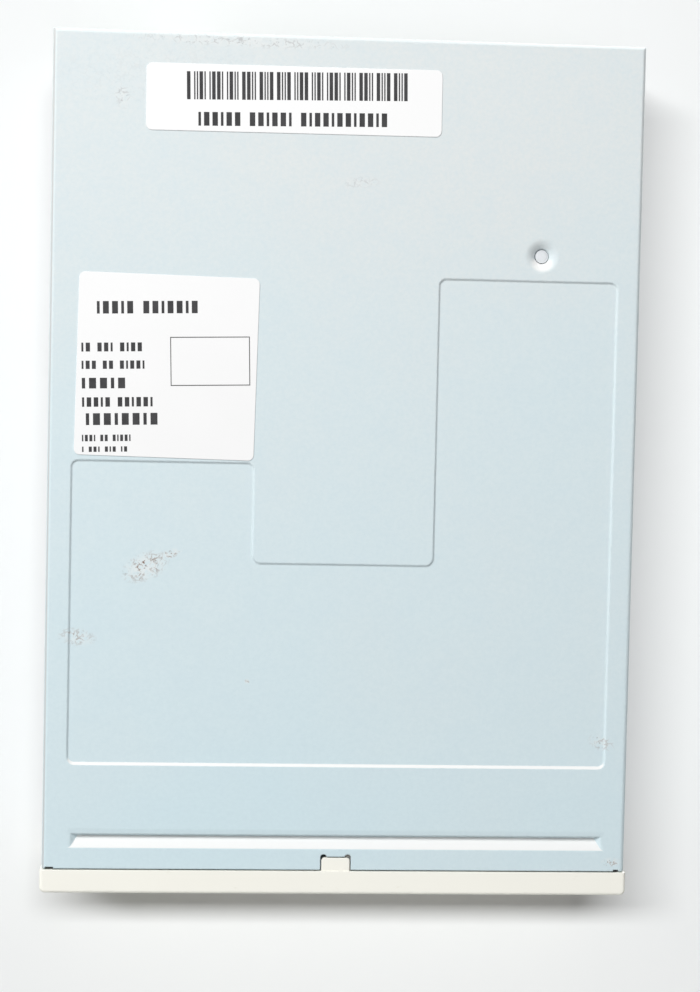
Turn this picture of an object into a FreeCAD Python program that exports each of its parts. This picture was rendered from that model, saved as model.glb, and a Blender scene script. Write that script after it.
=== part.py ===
import FreeCAD, Part
import os
import re
import Sketcher
from FreeCAD import Rotation, Vector

# A one-inch-high 3.5 inch floppy disk drive, in millimetres.
# X runs to the right seen from the front, Y to the rear and Z up.
# The origin lies under the middle of the drive, on the face that it rests on.

doc = FreeCAD.newDocument("floppy_disk_drive")
dims = doc.addObject("Spreadsheet::Sheet", "dims")
nodes = []

# Driving sizes, each with the name that its cell in the sheet gets
SIZES = {
    # The disk that goes in, which is not part of the drive: the drive is stacked up around it
    "disk_width": 90.0,
    "disk_length": 94.0,
    "disk_thick": 3.3,
    "hub_from_edge": 46.5,
    "disk_inset": 4.5,
    "disk_drop": 2.8,
    "slide_travel": 5.0,
    "rear_space": 48.5,
    # Moulded front
    "bezel_depth": 4.0,
    "bezel_wall": 2.0,
    "bezel_rim": 1.6,
    "bezel_gap": 0.22,
    "bezel_corner": 0.9,
    "bezel_edge": 0.5,
    "bezel_step": 0.2,
    "slot_side_clear": 1.2,
    "slot_clear": 0.75,
    "slot_lead": 0.8,
    "scoop_half": 13.0,
    "scoop_height": 13.6,
    "scoop_depth": 1.2,
    "scoop_bevel": 1.5,
    "tongue_clear": 0.19,
    "tongue_corner": 0.55,
    "tongue_thick": 1.1,
    "clip_length": 8.0,
    "clip_level": 6.9,
    "clip_height": 2.8,
    "clip_thick": 0.9,
    "clip_clear": 0.2,
    "hook_length": 1.6,
    "hook_width": 0.8,
    "button_width": 14.0,
    "button_height": 6.2,
    "button_side": 11.0,
    "button_level": 7.6,
    "button_clear": 0.2,
    "button_inset": 0.2,
    "button_edge": 0.4,
    "lamp_width": 4.2,
    "lamp_height": 2.0,
    "lamp_clear": 0.06,
    "lamp_inset": 0.05,
    "lamp_length": 7.2,
    "lamp_case": 3.0,
    "lamp_case_wall": 0.6,
    # Top cover
    "cover_inset": 0.3,
    "cover_sheet": 0.5,
    "cover_headroom": 1.9,
    "cover_bend": 0.8,
    "cover_fit": 0.2,
    "cover_seat": 0.4,
    "rear_flange": 11.2,
    "rear_corner": 7.0,
    "corner_relief": 0.9,
    "panel_depth": 0.42,
    "panel_bevel": 0.4,
    "panel_radius": 1.2,
    "panel_side": 4.3,
    "panel_tongue": 15.8,
    "panel_front": 18.3,
    "panel_middle": 53.0,
    "panel_left_rear": 69.8,
    "panel_setback": 4.68,
    "groove_side": 4.8,
    "groove_width": 3.0,
    "groove_depth": 0.7,
    "groove_bevel": 0.65,
    "groove_radius": 0.75,
    "groove_setback": 3.54,
    "dimple_radius": 2.65,
    "dimple_floor": 1.7,
    "dimple_depth": 0.9,
    "post_hole_clear": 0.3,
    "notch_half": 2.64,
    "notch_depth": 2.29,
    "ear_depth": 0.41,
    "ear_width": 1.1,
    "barb_length": 5.0,
    "barb_height": 2.0,
    "barb_proud": 0.5,
    "barb_rise": 2.6,
    "barb_clear": 0.3,
    "barb_first": 27.0,
    "barb_middle": 22.0,
    "barb_last": 18.0,
    # Chassis
    "foot_inset": 0.1,
    "chassis_sheet": 1.0,
    "wall_drop": 3.6,
    "joggle_low": 10.8,
    "joggle_rise": 0.8,
    "floor_level": 4.6,
    "rear_bay_side": 7.8,
    "rear_bay_clear": 0.2,
    "window_clear": 1.3,
    "carriage_window": 30.0,
    "carriage_window_shift": 3.0,
    "carriage_window_left": 5.5,
    "carriage_window_right": 4.0,
    "button_relief": 0.5,
    "screw_hole": 1.25,
    "side_hole_level": 5.0,
    "side_hole_first": 31.0,
    "side_hole_pitch": 60.0,
    "foot_hole_first": 21.0,
    "foot_hole_pitch": 70.0,
    "foot_hole_inset": 2.9,
    "collar_wall": 0.9,
    "collar_depth": 1.62,
    "foot_length": 10.0,
    "foot_reach": 3.9,
    "collar_height": 2.4,
    "floor_relief": 4.5,
    # Disk holder and its slider
    "holder_sheet": 0.8,
    "holder_side_clear": 0.5,
    "holder_headroom": 1.1,
    "holder_lip": 4.5,
    "holder_setback": 10.5,
    "holder_overhang": 5.0,
    "holder_window_near": 13.0,
    "holder_window_side": 7.5,
    "holder_window_half": 15.0,
    "holder_pad": 7.0,
    "holder_pad_rear": 4.5,
    "stop_gap": 0.3,
    "stop_rise": 0.4,
    "stop_width": 10.0,
    "stop_left": 5.0,
    "stop_right": 3.0,
    "head_gap_half": 8.2,
    "head_gap_clear": 0.8,
    "pin_radius": 1.0,
    "pin_rise": 2.2,
    "pin_front": 23.5,
    "pin_rear": 15.0,
    "pin_clear": 0.12,
    "pin_short": 0.4,
    "slider_sheet": 0.8,
    "slider_side_clear": 0.9,
    "slider_wall_clear": 0.8,
    "slider_rise": 2.0,
    "slider_setback": 12.5,
    "slider_overhang": 10.0,
    "slider_below_slot": 1.6,
    "slider_gap_half": 20.0,
    "slider_bridge": 16.0,
    "slider_arm_rise": 0.3,
    "slider_arm_width": 11.0,
    "slider_ear_half": 2.0,
    "slider_tab_half": 5.0,
    "slider_tab_rise": 2.8,
    "tab_setback": 7.7,
    "spring_side": 1.8,
    "spring_rise": 2.8,
    "spring_post": 26.5,
    "spring_span": 22.0,
    "spring_post_radius": 0.8,
    "spring_radius": 1.3,
    "spring_wire": 0.25,
    "spring_pitch": 1.2,
    "spring_gap": 0.2,
    "spring_seat": 1.2,
    # Shutter lever
    "lever_side": 11.7,
    "lever_setback": 12.3,
    "lever_reach": 22.3,
    "lever_start": -94.0,
    "lever_swing": 57.0,
    "lever_tail": 7.0,
    "lever_tail_turn": 150.0,
    "lever_sheet": 1.0,
    "lever_rise": 0.4,
    "lever_width": 4.0,
    "lever_hub_wall": 1.6,
    "lever_pin_radius": 1.1,
    "lever_pin_low": 0.8,
    "lever_slot": 0.4,
    "post_radius": 1.5,
    "post_tip_radius": 1.15,
    "post_depth": 1.1,
    "shoulder_rise": 0.2,
    "lever_spring_wire": 0.75,
    "lever_spring_rise": 1.1,
    "running_gap": 0.03,
    # Dust door
    "door_thick": 1.0,
    "door_gap": 0.1,
    "door_knuckle": 0.8,
    "door_offset": 1.3,
    "door_rise": 1.5,
    "door_pin": 0.7,
    "door_overlap": 0.4,
    "door_boss": 1.3,
    "door_end": 1.2,
    "door_tail": 0.3,
    "door_side_clear": 0.3,
    "door_spring_wall": 0.4,
    # Spindle motor
    "rotor_radius": 20.5,
    "rotor_lift": 1.4,
    "rotor_depth": 4.6,
    "rotor_sheet": 0.8,
    "magnet_thick": 1.5,
    "magnet_height": 3.2,
    "magnet_rise": 0.3,
    "shaft_radius": 2.0,
    "shaft_rise": 1.8,
    "shaft_below": 0.7,
    "shaft_cone": 0.6,
    "hub_radius": 12.5,
    "hub_thick": 1.7,
    "hub_rise": 0.3,
    "hub_bevel": 0.5,
    "hub_boss": 2.5,
    "drive_pin_place": 10.2,
    "drive_pin_radius": 1.1,
    "drive_pin_height": 1.0,
    "motor_plate": 1.2,
    "plate_margin": 5.5,
    "plate_corner": 5.0,
    "plate_short": 2.0,
    "plate_screw_inset": 3.5,
    "plate_screw_rear": 20.3,
    "housing_radius": 6.0,
    "housing_flange": 9.0,
    "housing_flange_thick": 0.8,
    "housing_cap": 0.6,
    "housing_cap_wall": 1.1,
    "housing_shoulder": 1.5,
    "housing_clear": 0.3,
    "bearing_radius": 3.9,
    "core_sheet": 1.6,
    "core_rise": 1.8,
    "core_ring": 9.5,
    "air_gap": 0.9,
    "tooth_width": 2.2,
    "tooth_count": 12,
    "shoe_length": 1.0,
    "shoe_width": 5.28,
    "coil_thick": 1.1,
    "coil_height": 1.2,
    "coil_gap": 1.2,
    "coil_setback": 1.0,
    "index_half": 1.3,
    "index_inset": 1.9,
    # Head carriage, its rod and its screw
    "track_radius": 39.5,
    "head_stroke": 14.8,
    "screw_lead": 3.75,
    "screw_radius": 1.5,
    "screw_place": -14.0,
    "drive_rise": 4.2,
    "rod_radius": 1.5,
    "rod_place": 14.0,
    "rod_setback": 18.9,
    "rod_short": 0.6,
    "clamp_length": 3.4,
    "clamp_wall": 0.9,
    "clamp_ear": 6.0,
    "clamp_ear_thick": 1.0,
    "clamp_screw": 4.2,
    "carriage_rise": 1.2,
    "carriage_rear": 2.0,
    "sledge_half": 8.5,
    "sledge_front": 3.0,
    "head_half": 2.2,
    "head_width": 3.6,
    "follower_setback": 15.0,
    "stepper_radius": 5.6,
    "stepper_length": 12.0,
    "stepper_setback": 4.6,
    "stepper_boss": 0.8,
    "thread_reach": 6.8,
    "thread_short": 1.4,
    "bracket_sheet": 0.8,
    "bracket_left": 7.0,
    "bracket_right": 5.0,
    "bracket_front": 1.6,
    "bracket_screw": 4.8,
    "bracket_screw_first": 8.0,
    "bracket_screw_pitch": 19.0,
    "journal_radius": 0.75,
    "bush_wall": 0.5,
    "arm_half": 5.0,
    "arm_sheet": 1.2,
    "arm_gap": 0.4,
    "arm_pivot": 24.0,
    "arm_front": 5.0,
    "arm_pin": 0.8,
    "arm_lift": 12.3,
    "arm_rest": 0.3,
    "arm_wing": 6.0,
    "groove_centre": 0.3,
    "groove_round": 0.7,
    "follower_radius": 0.3,
    "follower_bite": 0.25,
    # Circuit board and connectors
    "board_thick": 1.2,
    "board_gap": 0.8,
    "board_side": 3.4,
    "board_reach": 6.0,
    "board_inset": 0.9,
    "board_screw_side": 9.0,
    "board_screw_front": 8.0,
    "board_screw_edge": 2.2,
    "board_screw_rear": 7.0,
    "board_notch": 0.8,
    "small_part_pitch": 8.0,
    "cable_socket_half": 1.6,
    "cable_socket_place": 36.4,
    "cable_socket_length": 3.6,
    "cable_socket_height": 2.4,
    "header_side": 5.0,
    "header_half": 24.0,
    "header_height": 8.8,
    "header_depth": 8.6,
    "header_wall": 1.3,
    "key_half": 2.2,
    "plug_side": 9.5,
    "plug_half": 6.5,
    "plug_height": 7.0,
    "plug_depth": 8.7,
    "plug_wall": 0.9,
    "gate_half": 2.4,
    "socket_back": 2.0,
    "pin_pitch": 2.54,
    "pin_side": 0.64,
    "plug_pitch": 2.5,
    "plug_pin": 0.8,
    "rear_inset": 0.3,
    # Flat cables
    "cable_sheet": 0.2,
    "cable_width": 3.0,
    "cable_rise": 0.4,
    "cable_bend": 5.1,
    "cable_place": 12.0,
    "cable_setback": 9.0,
    "motor_cable_near": 2.0,
    "motor_cable_width": 12.0,
    "stepper_cable_half": 2.5,
    # Switches, posts and the light gate
    "switch_side": 7.5,
    "switch_pitch": 9.5,
    "switch_setback": 15.5,
    "switch_half": 3.0,
    "switch_height": 4.8,
    "switch_base": 0.4,
    "plunger_radius": 0.9,
    "plunger_travel": 1.2,
    "plunger_clear": 0.05,
    "datum_side": 8.0,
    "datum_front": 23.5,
    "datum_rear": 10.0,
    "datum_radius": 2.0,
    "datum_rise": 0.1,
    "datum_tip_height": 1.5,
    "datum_tip_low": 1.4,
    "datum_tip_high": 0.8,
    "light_gate_x": 8.5,
    "light_gate_y": 18.0,
    "light_gate_base": 1.0,
    "light_gate_half": 2.1,
    # Screw heads
    "screw_head": 1.5,
    "screw_head_thick": 0.9,
    "screw_slot": 0.4,
    "board_screw_head": 1.6,
    # Labels
    "label_thick": 0.08,
    "label_corner": 1.0,
    "top_label_width": 50.15,
    "top_label_depth": 11.25,
    "top_label_x": -9.65,
    "top_label_from_rear": 10.95,
    "top_label_turn": 0.27,
    "side_label_width": 30.5,
    "side_label_depth": 31.0,
    "side_label_side": 15.7,
    "side_label_from_rear": 56.5,
    "side_label_turn": -1.0,
}

for row, (alias, size) in enumerate(SIZES.items(), 1):
    dims.set(f"A{row}", alias)
    dims.set(f"B{row}", str(size))
    dims.setAlias(f"B{row}", alias)
doc.recompute()

# Places that several pieces share, as formulas of the sizes and of each other
PLACES = {
    # Along the drive, from the moulded front to the rear
    "drive_depth": "disk_inset + disk_length + rear_space",
    "front": "-drive_depth / 2",
    "rear": "drive_depth / 2",
    "bezel_inside": "front + bezel_wall",
    "bezel_back": "front + bezel_depth",
    "body_front": "bezel_back + bezel_gap",
    "chassis_rear": "rear - cover_sheet - cover_fit",
    "disk_lead": "front + disk_inset + disk_length",
    "spindle_y": "disk_lead - hub_from_edge",
    "track_zero": "spindle_y + track_radius",
    "arm_y": "track_zero + arm_pivot",
    "carriage_end": "arm_y + carriage_rear",
    "stepper_front": "arm_y + stepper_setback",
    "stepper_back": "stepper_front + stepper_length",
    "thread_front": "track_zero - thread_reach",
    "thread_rear": "stepper_front - thread_short",
    "follower_y": "track_zero + follower_setback",
    "rod_front": "spindle_y + rod_setback",
    "rod_rear": "stepper_front - rod_short",
    "holder_front": "front + holder_setback",
    "holder_rear": "disk_lead + holder_overhang",
    "first_pin": "front + pin_front",
    "last_pin": "disk_lead - pin_rear",
    "slider_front": "front + slider_setback",
    "slider_rear": "last_pin + slider_overhang",
    "tab_y": "front + tab_setback",
    "spring_front": "front + spring_post",
    "spring_rear": "spring_front + spring_span",
    "lever_y": "disk_lead + lever_setback",
    "door_front": "bezel_inside + door_gap",
    "door_y": "door_front + door_offset",
    "switch_y": "front + switch_setback",
    "board_front": "track_zero - board_reach",
    "board_rear": "rear - board_inset",
    "connector_rear": "rear - rear_inset",
    "header_front": "connector_rear - header_depth",
    "plug_front": "connector_rear - plug_depth",
    "cable_turn": "arm_y + cable_setback",
    # Across it, from the disk to the outside
    "disk_half": "disk_width / 2",
    "slot_half": "disk_half + slot_side_clear",
    "holder_in": "disk_half + holder_side_clear",
    "holder_out": "holder_in + holder_sheet",
    "slider_in": "holder_out + slider_side_clear",
    "slider_out": "slider_in + slider_sheet",
    "wall_in": "slider_out + slider_wall_clear",
    "wall_out": "wall_in + chassis_sheet",
    "cover_in": "wall_out + cover_fit",
    "cover_out": "cover_in + cover_sheet",
    "bezel_out": "cover_out + cover_inset",
    "bezel_in": "bezel_out - bezel_rim",
    "foot_out": "cover_out - foot_inset",
    "foot_in": "foot_out - chassis_sheet",
    "foot_hole_x": "foot_out - foot_hole_inset",
    "panel_half": "cover_out - panel_side",
    "groove_half": "cover_out - groove_side",
    "rear_bay_half": "foot_in - rear_bay_side",
    "door_half": "slot_half + door_overlap",
    "door_boss_in": "door_half + door_end",
    "button_x": "disk_half - button_side",
    "lamp_x": "-button_x",
    "lever_x": "disk_half - lever_side",
    "spring_x": "slider_in - spring_side",
    "switch_x": "disk_half - switch_side",
    "datum_x": "disk_half - datum_side",
    "plate_half": "rotor_radius + plate_margin",
    "tooth_tip": "rotor_radius - rotor_sheet - magnet_thick - air_gap",
    "coil_length": "tooth_tip - shoe_length - coil_gap - core_ring - coil_setback",
    "plate_screw_x": "plate_half - plate_screw_inset",
    "board_half": "foot_in - board_side",
    "header_x": "board_half - header_side - header_half",
    "plug_x": "plug_side + plug_half - board_half",
    "side_label_x": "side_label_side - panel_half",
    # Upwards, from the floor to the lid
    "floor_top": "floor_level + chassis_sheet",
    "joggle_high": "joggle_low + joggle_rise",
    "flange_low": "joggle_high + cover_seat",
    "barb_level": "flange_low + barb_rise",
    "plate_low": "floor_level - motor_plate",
    "flange_bottom": "plate_low - housing_flange_thick",
    "rotor_skirt": "floor_level + rotor_lift",
    "rotor_top": "rotor_skirt + rotor_depth",
    "core_level": "floor_level + core_rise",
    "core_top": "core_level + core_sheet",
    "hub_top": "rotor_top + hub_thick",
    "loaded": "hub_top - hub_rise",
    "disk_level": "loaded + disk_drop",
    "media": "loaded + disk_thick / 2",
    "disk_top": "disk_level + disk_thick",
    "slot_low": "disk_level - slot_clear",
    "slot_high": "disk_top + slot_clear",
    "door_z": "slot_high + door_rise",
    "holder_low": "disk_level - holder_sheet",
    "holder_ceiling": "disk_top + holder_headroom",
    "holder_top": "holder_ceiling + holder_sheet",
    "pin_level": "disk_level + pin_rise",
    "slider_low": "holder_top + slider_rise",
    "slider_top": "slider_low + slider_sheet",
    "slider_skirt": "pin_level - disk_drop - slider_below_slot",
    "slider_arm_low": "floor_top + slider_arm_rise",
    "spring_level": "floor_top + spring_rise",
    "lever_low": "holder_top + lever_rise",
    "lever_top": "lever_low + lever_sheet",
    "shoulder": "lever_top + shoulder_rise",
    "cover_under": "slider_top + cover_headroom",
    "cover_top": "cover_under + cover_sheet",
    "post_top": "cover_top - post_depth",
    "chassis_top": "cover_top - wall_drop",
    "bezel_top": "cover_top + bezel_step",
    "drive_level": "floor_top + drive_rise",
    "carriage_low": "floor_top + carriage_rise",
    "arm_low": "loaded + disk_thick + arm_gap",
    "arm_z": "arm_low + arm_sheet / 2",
    "switch_top": "floor_top + switch_height",
    "board_level": "floor_level - board_gap - board_thick",
    "board_top": "board_level + board_thick",
}
PIN_ROWS = ("first_pin", "last_pin")

FUNCTIONS = {"sin", "cos", "atan", "sqrt", "floor"}
AXES = {"x": Rotation(Vector(0, 1, 0), 90), "y": Rotation(Vector(1, 0, 0), -90), "z": Rotation()}


def bound(text):
    """Turn a formula of bare names into one that reads the sheet."""
    def read(word):
        if word[0] in PLACES:
            return f"({bound(PLACES[word[0]])})"
        return word[0] if word[0] in FUNCTIONS else "dims." + word[0]
    return re.sub(r"[a-z_]+", read, str(text))


def value(text):
    """The number that a formula gives now."""
    return float(dims.evalExpression(bound(text)))


def fresh(name):
    """A name that the document does not hold yet."""
    return name if not doc.getObject(name) else f"{name}_{len(doc.Objects)}"


def put(thing, x, y, z):
    """Bind a primitive's place."""
    for axis, text in zip("xyz", (x, y, z)):
        thing.setExpression(f"Placement.Base.{axis}", bound(text))
    return thing


def block(x, y, z, name="block"):
    """A box between two limits on each axis."""
    made = doc.addObject("Part::Box", fresh(name))
    for side, (low, high) in zip(("Length", "Width", "Height"), (x, y, z)):
        made.setExpression(side, bound(f"({high}) - ({low})"))
    return put(made, x[0], y[0], z[0])


def about(centre, half):
    """Two limits at equal distances from a centre."""
    return f"({centre}) - ({half})", f"({centre}) + ({half})"


def rod(axis, x, y, z, radius, name="rod"):
    """A cylinder along an axis: that axis has two limits, and the others one place each."""
    made = doc.addObject("Part::Cylinder", fresh(name))
    made.Placement.Rotation = AXES[axis]
    spans = {"x": x, "y": y, "z": z}
    low, high = spans[axis]
    made.setExpression("Radius", bound(radius))
    made.setExpression("Height", bound(f"({high}) - ({low})"))
    spans[axis] = low
    return put(made, *spans.values())


def cone(axis, x, y, z, first, last, name="cone"):
    """A cone along an axis, with its radius at each end."""
    made = doc.addObject("Part::Cone", fresh(name))
    made.Placement.Rotation = AXES[axis]
    spans = {"x": x, "y": y, "z": z}
    low, high = spans[axis]
    made.setExpression("Radius1", bound(first))
    made.setExpression("Radius2", bound(last))
    made.setExpression("Height", bound(f"({high}) - ({low})"))
    spans[axis] = low
    return put(made, *spans.values())


def turned(thing, x, y, z, angle, radial=0, across=0):
    """Turn a primitive about an upright axis through x, y, and set it off along its own axes."""
    thing.setExpression("Placement.Rotation.Angle", bound(angle))
    reach = f"({radial}) * cos({angle}) - ({across}) * sin({angle})"
    swing = f"({radial}) * sin({angle}) + ({across}) * cos({angle})"
    return put(thing, f"({x}) + {reach}", f"({y}) + {swing}", z)


def bar(length, width, height, name="bar"):
    """A box by its three sizes, to be turned and placed."""
    made = doc.addObject("Part::Box", fresh(name))
    for side, text in (("Length", length), ("Width", width), ("Height", height)):
        made.setExpression(side, bound(text))
    made.Placement.Rotation = Rotation(Vector(0, 0, 1), 0)
    return made


def join(parts, name="join"):
    """One solid from several that overlap or share faces."""
    made = doc.addObject("Part::MultiFuse", fresh(name))
    made.Shapes = parts
    made.Refine = True
    return made


def cut(base, tools, name="cut"):
    """Take one tool, or several, from a solid."""
    made = doc.addObject("Part::Cut", fresh(name))
    made.Base = base
    made.Tool = tools[0] if len(tools) == 1 else join(tools, "tools")
    made.Refine = True
    return made


def group(parts, name="group"):
    """Several separate solids of one node."""
    made = doc.addObject("Part::Compound", fresh(name))
    made.Links = parts
    return made


def node(thing, label):
    """Give a finished sub-part its name."""
    thing.Label = label
    nodes.append(thing)
    return thing


def prism(plane, outline, low, high, name="prism"):
    """A body padded between two levels from a closed outline of corner points."""
    body = doc.addObject("PartDesign::Body", fresh(name))
    sketch = body.newObject("Sketcher::SketchObject", fresh(name + "_sketch"))
    origin = [feature for feature in body.Origin.OriginFeatures if feature.Role == plane][0]
    sketch.AttachmentSupport = [(origin, "")]
    sketch.MapMode = "FlatFace"
    start = f"-({high})" if plane == "XZ_Plane" else low
    sketch.setExpression("AttachmentOffset.Base.z", bound(start))
    corners = [Vector(value(first), value(second), 0) for first, second in outline]
    count = len(outline)
    for at in range(count):
        sketch.addGeometry(Part.LineSegment(corners[at], corners[(at + 1) % count]), False)
    for at in range(count):
        sketch.addConstraint(Sketcher.Constraint("Coincident", at, 2, (at + 1) % count, 1))
    for at, texts in enumerate(outline):
        for kind, text in zip(("DistanceX", "DistanceY"), texts):
            index = sketch.addConstraint(Sketcher.Constraint(kind, -1, 1, at, 1, value(text)))
            sketch.setExpression(f"Constraints[{index}]", bound(text))
    pad = body.newObject("PartDesign::Pad", fresh(name + "_pad"))
    pad.Profile = sketch
    pad.setExpression("Length", bound(f"({high}) - ({low})"))
    doc.recompute()
    return body


def dress(body, kind, amount, wanted, name):
    """Round or bevel the edges of a body that a test picks."""
    base = body.Tip
    edges = [f"Edge{at + 1}" for at, edge in enumerate(base.Shape.Edges) if wanted(edge.BoundBox)]
    made = body.newObject("PartDesign::" + kind, fresh(name))
    made.Base = (base, edges)
    made.setExpression("Radius" if kind == "Fillet" else "Size", bound(amount))
    body.Tip = made
    doc.recompute()
    return body


def upright(box):
    return box.ZLength > 0.1 and box.XLength < 0.01 and box.YLength < 0.01


def rectangle(x, y):
    """Corner points of an upright rectangle between limits."""
    return [(x[0], y[0]), (x[1], y[0]), (x[1], y[1]), (x[0], y[1])]


def mirrored(x, side):
    """Two limits on one side of the middle plane, which is crossed where side is -1."""
    low, high = x
    return (low, high) if side > 0 else (f"-({high})", f"-({low})")


# Chassis: one steel pressing, with stepped side walls and a floor between them
def chassis():
    run = ("body_front", "chassis_rear")
    walls = []
    for side in (1, -1):
        section = [("foot_in", "0"), ("foot_out", "0"), ("foot_out", "joggle_low"), ("wall_out", "joggle_high"),
                   ("wall_out", "chassis_top"), ("wall_in", "chassis_top"), ("wall_in", "joggle_high"),
                   ("foot_in", "joggle_low")]
        points = [(x if side > 0 else f"-({x})", z) for x, z in section]
        walls.append(prism("XZ_Plane", points, *run, name="wall"))
    floor = block(("-foot_in", "foot_in"), run, ("floor_level", "floor_top"), "floor")
    through = ("floor_level - 1", "floor_top + 1")
    relief = [
        rod("z", "0", "spindle_y", through, "rotor_radius + window_clear"),
        block(("-rear_bay_half", "rear_bay_half"), ("stepper_front - rear_bay_clear", "rear + 1"), through),
        block(("screw_place + carriage_window_left", "rod_place + carriage_window_right"),
              about("track_zero + carriage_window_shift", "carriage_window / 2"), through),
        block(about("button_x", "button_width / 2 + button_relief"),
              ("body_front - 1", "tab_y + slider_sheet + 0.4"), through),
    ]
    extra, holes = [], []
    for side in (1, -1):
        for row in range(2):
            y = f"front + side_hole_first + {row} * side_hole_pitch"
            relief.append(block(mirrored(("foot_in - floor_relief", "foot_in"), side),
                                about(y, "floor_relief"), through))
            extra.append(rod("x", mirrored(("foot_in - collar_depth", "foot_in + 0.1"), side), y,
                             "side_hole_level", "screw_hole + collar_wall"))
            holes.append(rod("x", mirrored(("foot_in - 5", "foot_out + 1"), side), y,
                             "side_hole_level", "screw_hole"))
            y = f"front + foot_hole_first + {row} * foot_hole_pitch"
            x = f"{side} * foot_hole_x"
            inner = "foot_hole_x - foot_reach"
            extra.append(block(mirrored((inner, "foot_in + 0.1"), side), about(y, "foot_length / 2"),
                               ("0", "chassis_sheet")))
            extra.append(rod("z", x, y, ("0", "collar_height"), "screw_hole + collar_wall"))
            holes.append(rod("z", x, y, ("-1", "collar_height + 1"), "screw_hole"))
            slot_low = "pin_level - disk_drop - pin_radius - pin_clear"
            holes.append(block(mirrored(("wall_in - 1", "wall_out + 1"), side),
                               about(PIN_ROWS[row], "pin_radius + pin_clear"), (slot_low, "chassis_top + 1")))
        clip_y = "bezel_back + clip_length"
        holes.append(block(mirrored(("foot_in - 1", "foot_out + 1"), side),
                           (f"{clip_y} - 2", f"{clip_y} + 0.4"),
                           ("clip_level - 0.4", "clip_level + clip_height + 0.4")))
        extra.append(rod("z", f"{side} * spring_x", "spring_front",
                         ("floor_top - 0.1", "spring_level + spring_radius"), "spring_post_radius"))
        for y in barb_rows():
            extra.append(block(mirrored(("wall_out - 0.1", "wall_out + barb_proud"), side),
                               about(y, "barb_length / 2"), ("barb_level", "barb_level + barb_height")))
    for x, y in floor_screws() + bracket_screws() + clamp_screws():
        holes.append(rod("z", x, y, through, "screw_hole - 0.2"))
    plate = cut(floor, relief, "floor_cut")
    return node(cut(join([plate, *walls, *extra]), holes), "chassis")


def barb_rows():
    """Where the cover snaps over the chassis on each side."""
    return ["body_front + barb_first", "spindle_y + barb_middle", "rear - barb_last"]


def floor_screws():
    """The screws that hold the board and the motor plate under the floor."""
    near, far = "disk_half - board_screw_side", "board_half - board_screw_edge"
    first, last = "board_front + board_screw_front", "board_rear - board_screw_rear"
    board = [(f"-({near})", first), (near, first), (f"-({far})", last), (far, last)]
    front, rear = "spindle_y - plate_screw_x", "spindle_y + plate_screw_rear"
    return board + [("-plate_screw_x", front), ("plate_screw_x", front), ("plate_screw_x", rear)]


# Top cover: a thin painted steel lid with a pressed panel, a channel and a dimple
def pressing(outline, depth, slope, radius):
    """A tool that sinks an outline into the lid, and the bulge that it leaves underneath."""
    tools = []
    for drop in ("0", "cover_sheet"):
        tool = prism("XY_Plane", outline, f"cover_top - {drop} - {depth}", f"cover_top - {drop}", "press")
        dress(tool, "Fillet", radius, upright, "press_corner")
        low = value(f"cover_top - {drop} - {depth}") + 0.001
        dress(tool, "Chamfer", slope, lambda box: box.ZMax < low, "press_wall")
        tools.append(tool)
    return tools


def top_cover():
    full = prism("XY_Plane", rectangle(("-cover_out", "cover_out"), ("body_front", "rear")),
                 "flange_low", "cover_top", "lid")
    front, top = value("body_front"), value("cover_top")
    dress(full, "Fillet", "cover_bend",
          lambda box: box.ZMin > top - 0.01 and box.YMax > front + 0.01, "lid_bend")
    hollow = prism("XY_Plane", rectangle(("-cover_in", "cover_in"), ("body_front - 1",
                   "rear - cover_sheet")), "flange_low - 1", "cover_under", "lid_hollow")
    under = value("cover_under")
    dress(hollow, "Fillet", "cover_bend - cover_sheet",
          lambda box: box.ZMin > under - 0.01 and box.YMax > front, "lid_inner_bend")
    flange_low = "cover_top - rear_flange"
    away = [hollow, block(("rear_corner - cover_in", "cover_in - rear_corner"), ("rear - 2", "rear + 1"),
                          ("flange_low - 1", flange_low))]
    for side in (1, -1):
        away.append(block(mirrored(("cover_in - corner_relief / 2", "cover_in + 1"), side),
                          ("rear - corner_relief", "rear + 1"),
                          ("flange_low - 1", "cover_top - cover_bend * 1.5")))
    left, right = "-panel_half", "panel_half"
    front_y = "body_front + panel_front"
    left_y = "body_front + panel_left_rear"
    right_y = "lever_y - panel_setback"
    tongue_y = "body_front + panel_middle"
    panel = [(left, front_y), (right, front_y), (right, right_y), ("panel_tongue", right_y),
             ("panel_tongue", tongue_y), ("-panel_tongue", tongue_y), ("-panel_tongue", left_y), (left, left_y)]
    groove_y = "body_front + groove_setback"
    groove = rectangle(("-groove_half", "groove_half"), (groove_y, f"{groove_y} + groove_width"))
    sunk = [pressing(panel, "panel_depth", "panel_bevel", "panel_radius"),
            pressing(groove, "groove_depth", "groove_bevel", "groove_radius")]
    for drop in ("0", "cover_sheet"):
        low = f"cover_top - {drop} - dimple_depth"
        sunk.append(cone("z", "lever_x", "lever_y", (low, f"cover_top - {drop}"), "dimple_floor",
                         "dimple_radius", "dimple"))
    away += [sunk[0][0], sunk[1][0], sunk[2]]
    bulges = [sunk[0][1], sunk[1][1], sunk[3]]
    away.append(rod("z", "lever_x", "lever_y", ("cover_top - 4", "cover_top + 1"),
                    "post_tip_radius + post_hole_clear"))
    reach = "body_front + notch_depth"
    past = ("cover_top - 3", "cover_top + 1")
    away.append(block(("-notch_half", "notch_half"), ("body_front - 1", reach), past))
    for side in (1, -1):
        away.append(block(mirrored(("notch_half - ear_width", "notch_half"), side),
                          ("body_front - 1", f"{reach} + ear_depth"), past))
        for y in barb_rows():
            away.append(block(mirrored(("cover_in - 1", "cover_in + 2"), side),
                              about(y, "barb_length / 2 + barb_clear"),
                              ("barb_level - barb_clear", "barb_level + barb_height + barb_clear")))
    shell = cut(full, [away[0]], "lid_shell")
    return node(cut(join([shell, *bulges]), away[1:]), "top_cover")


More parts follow.
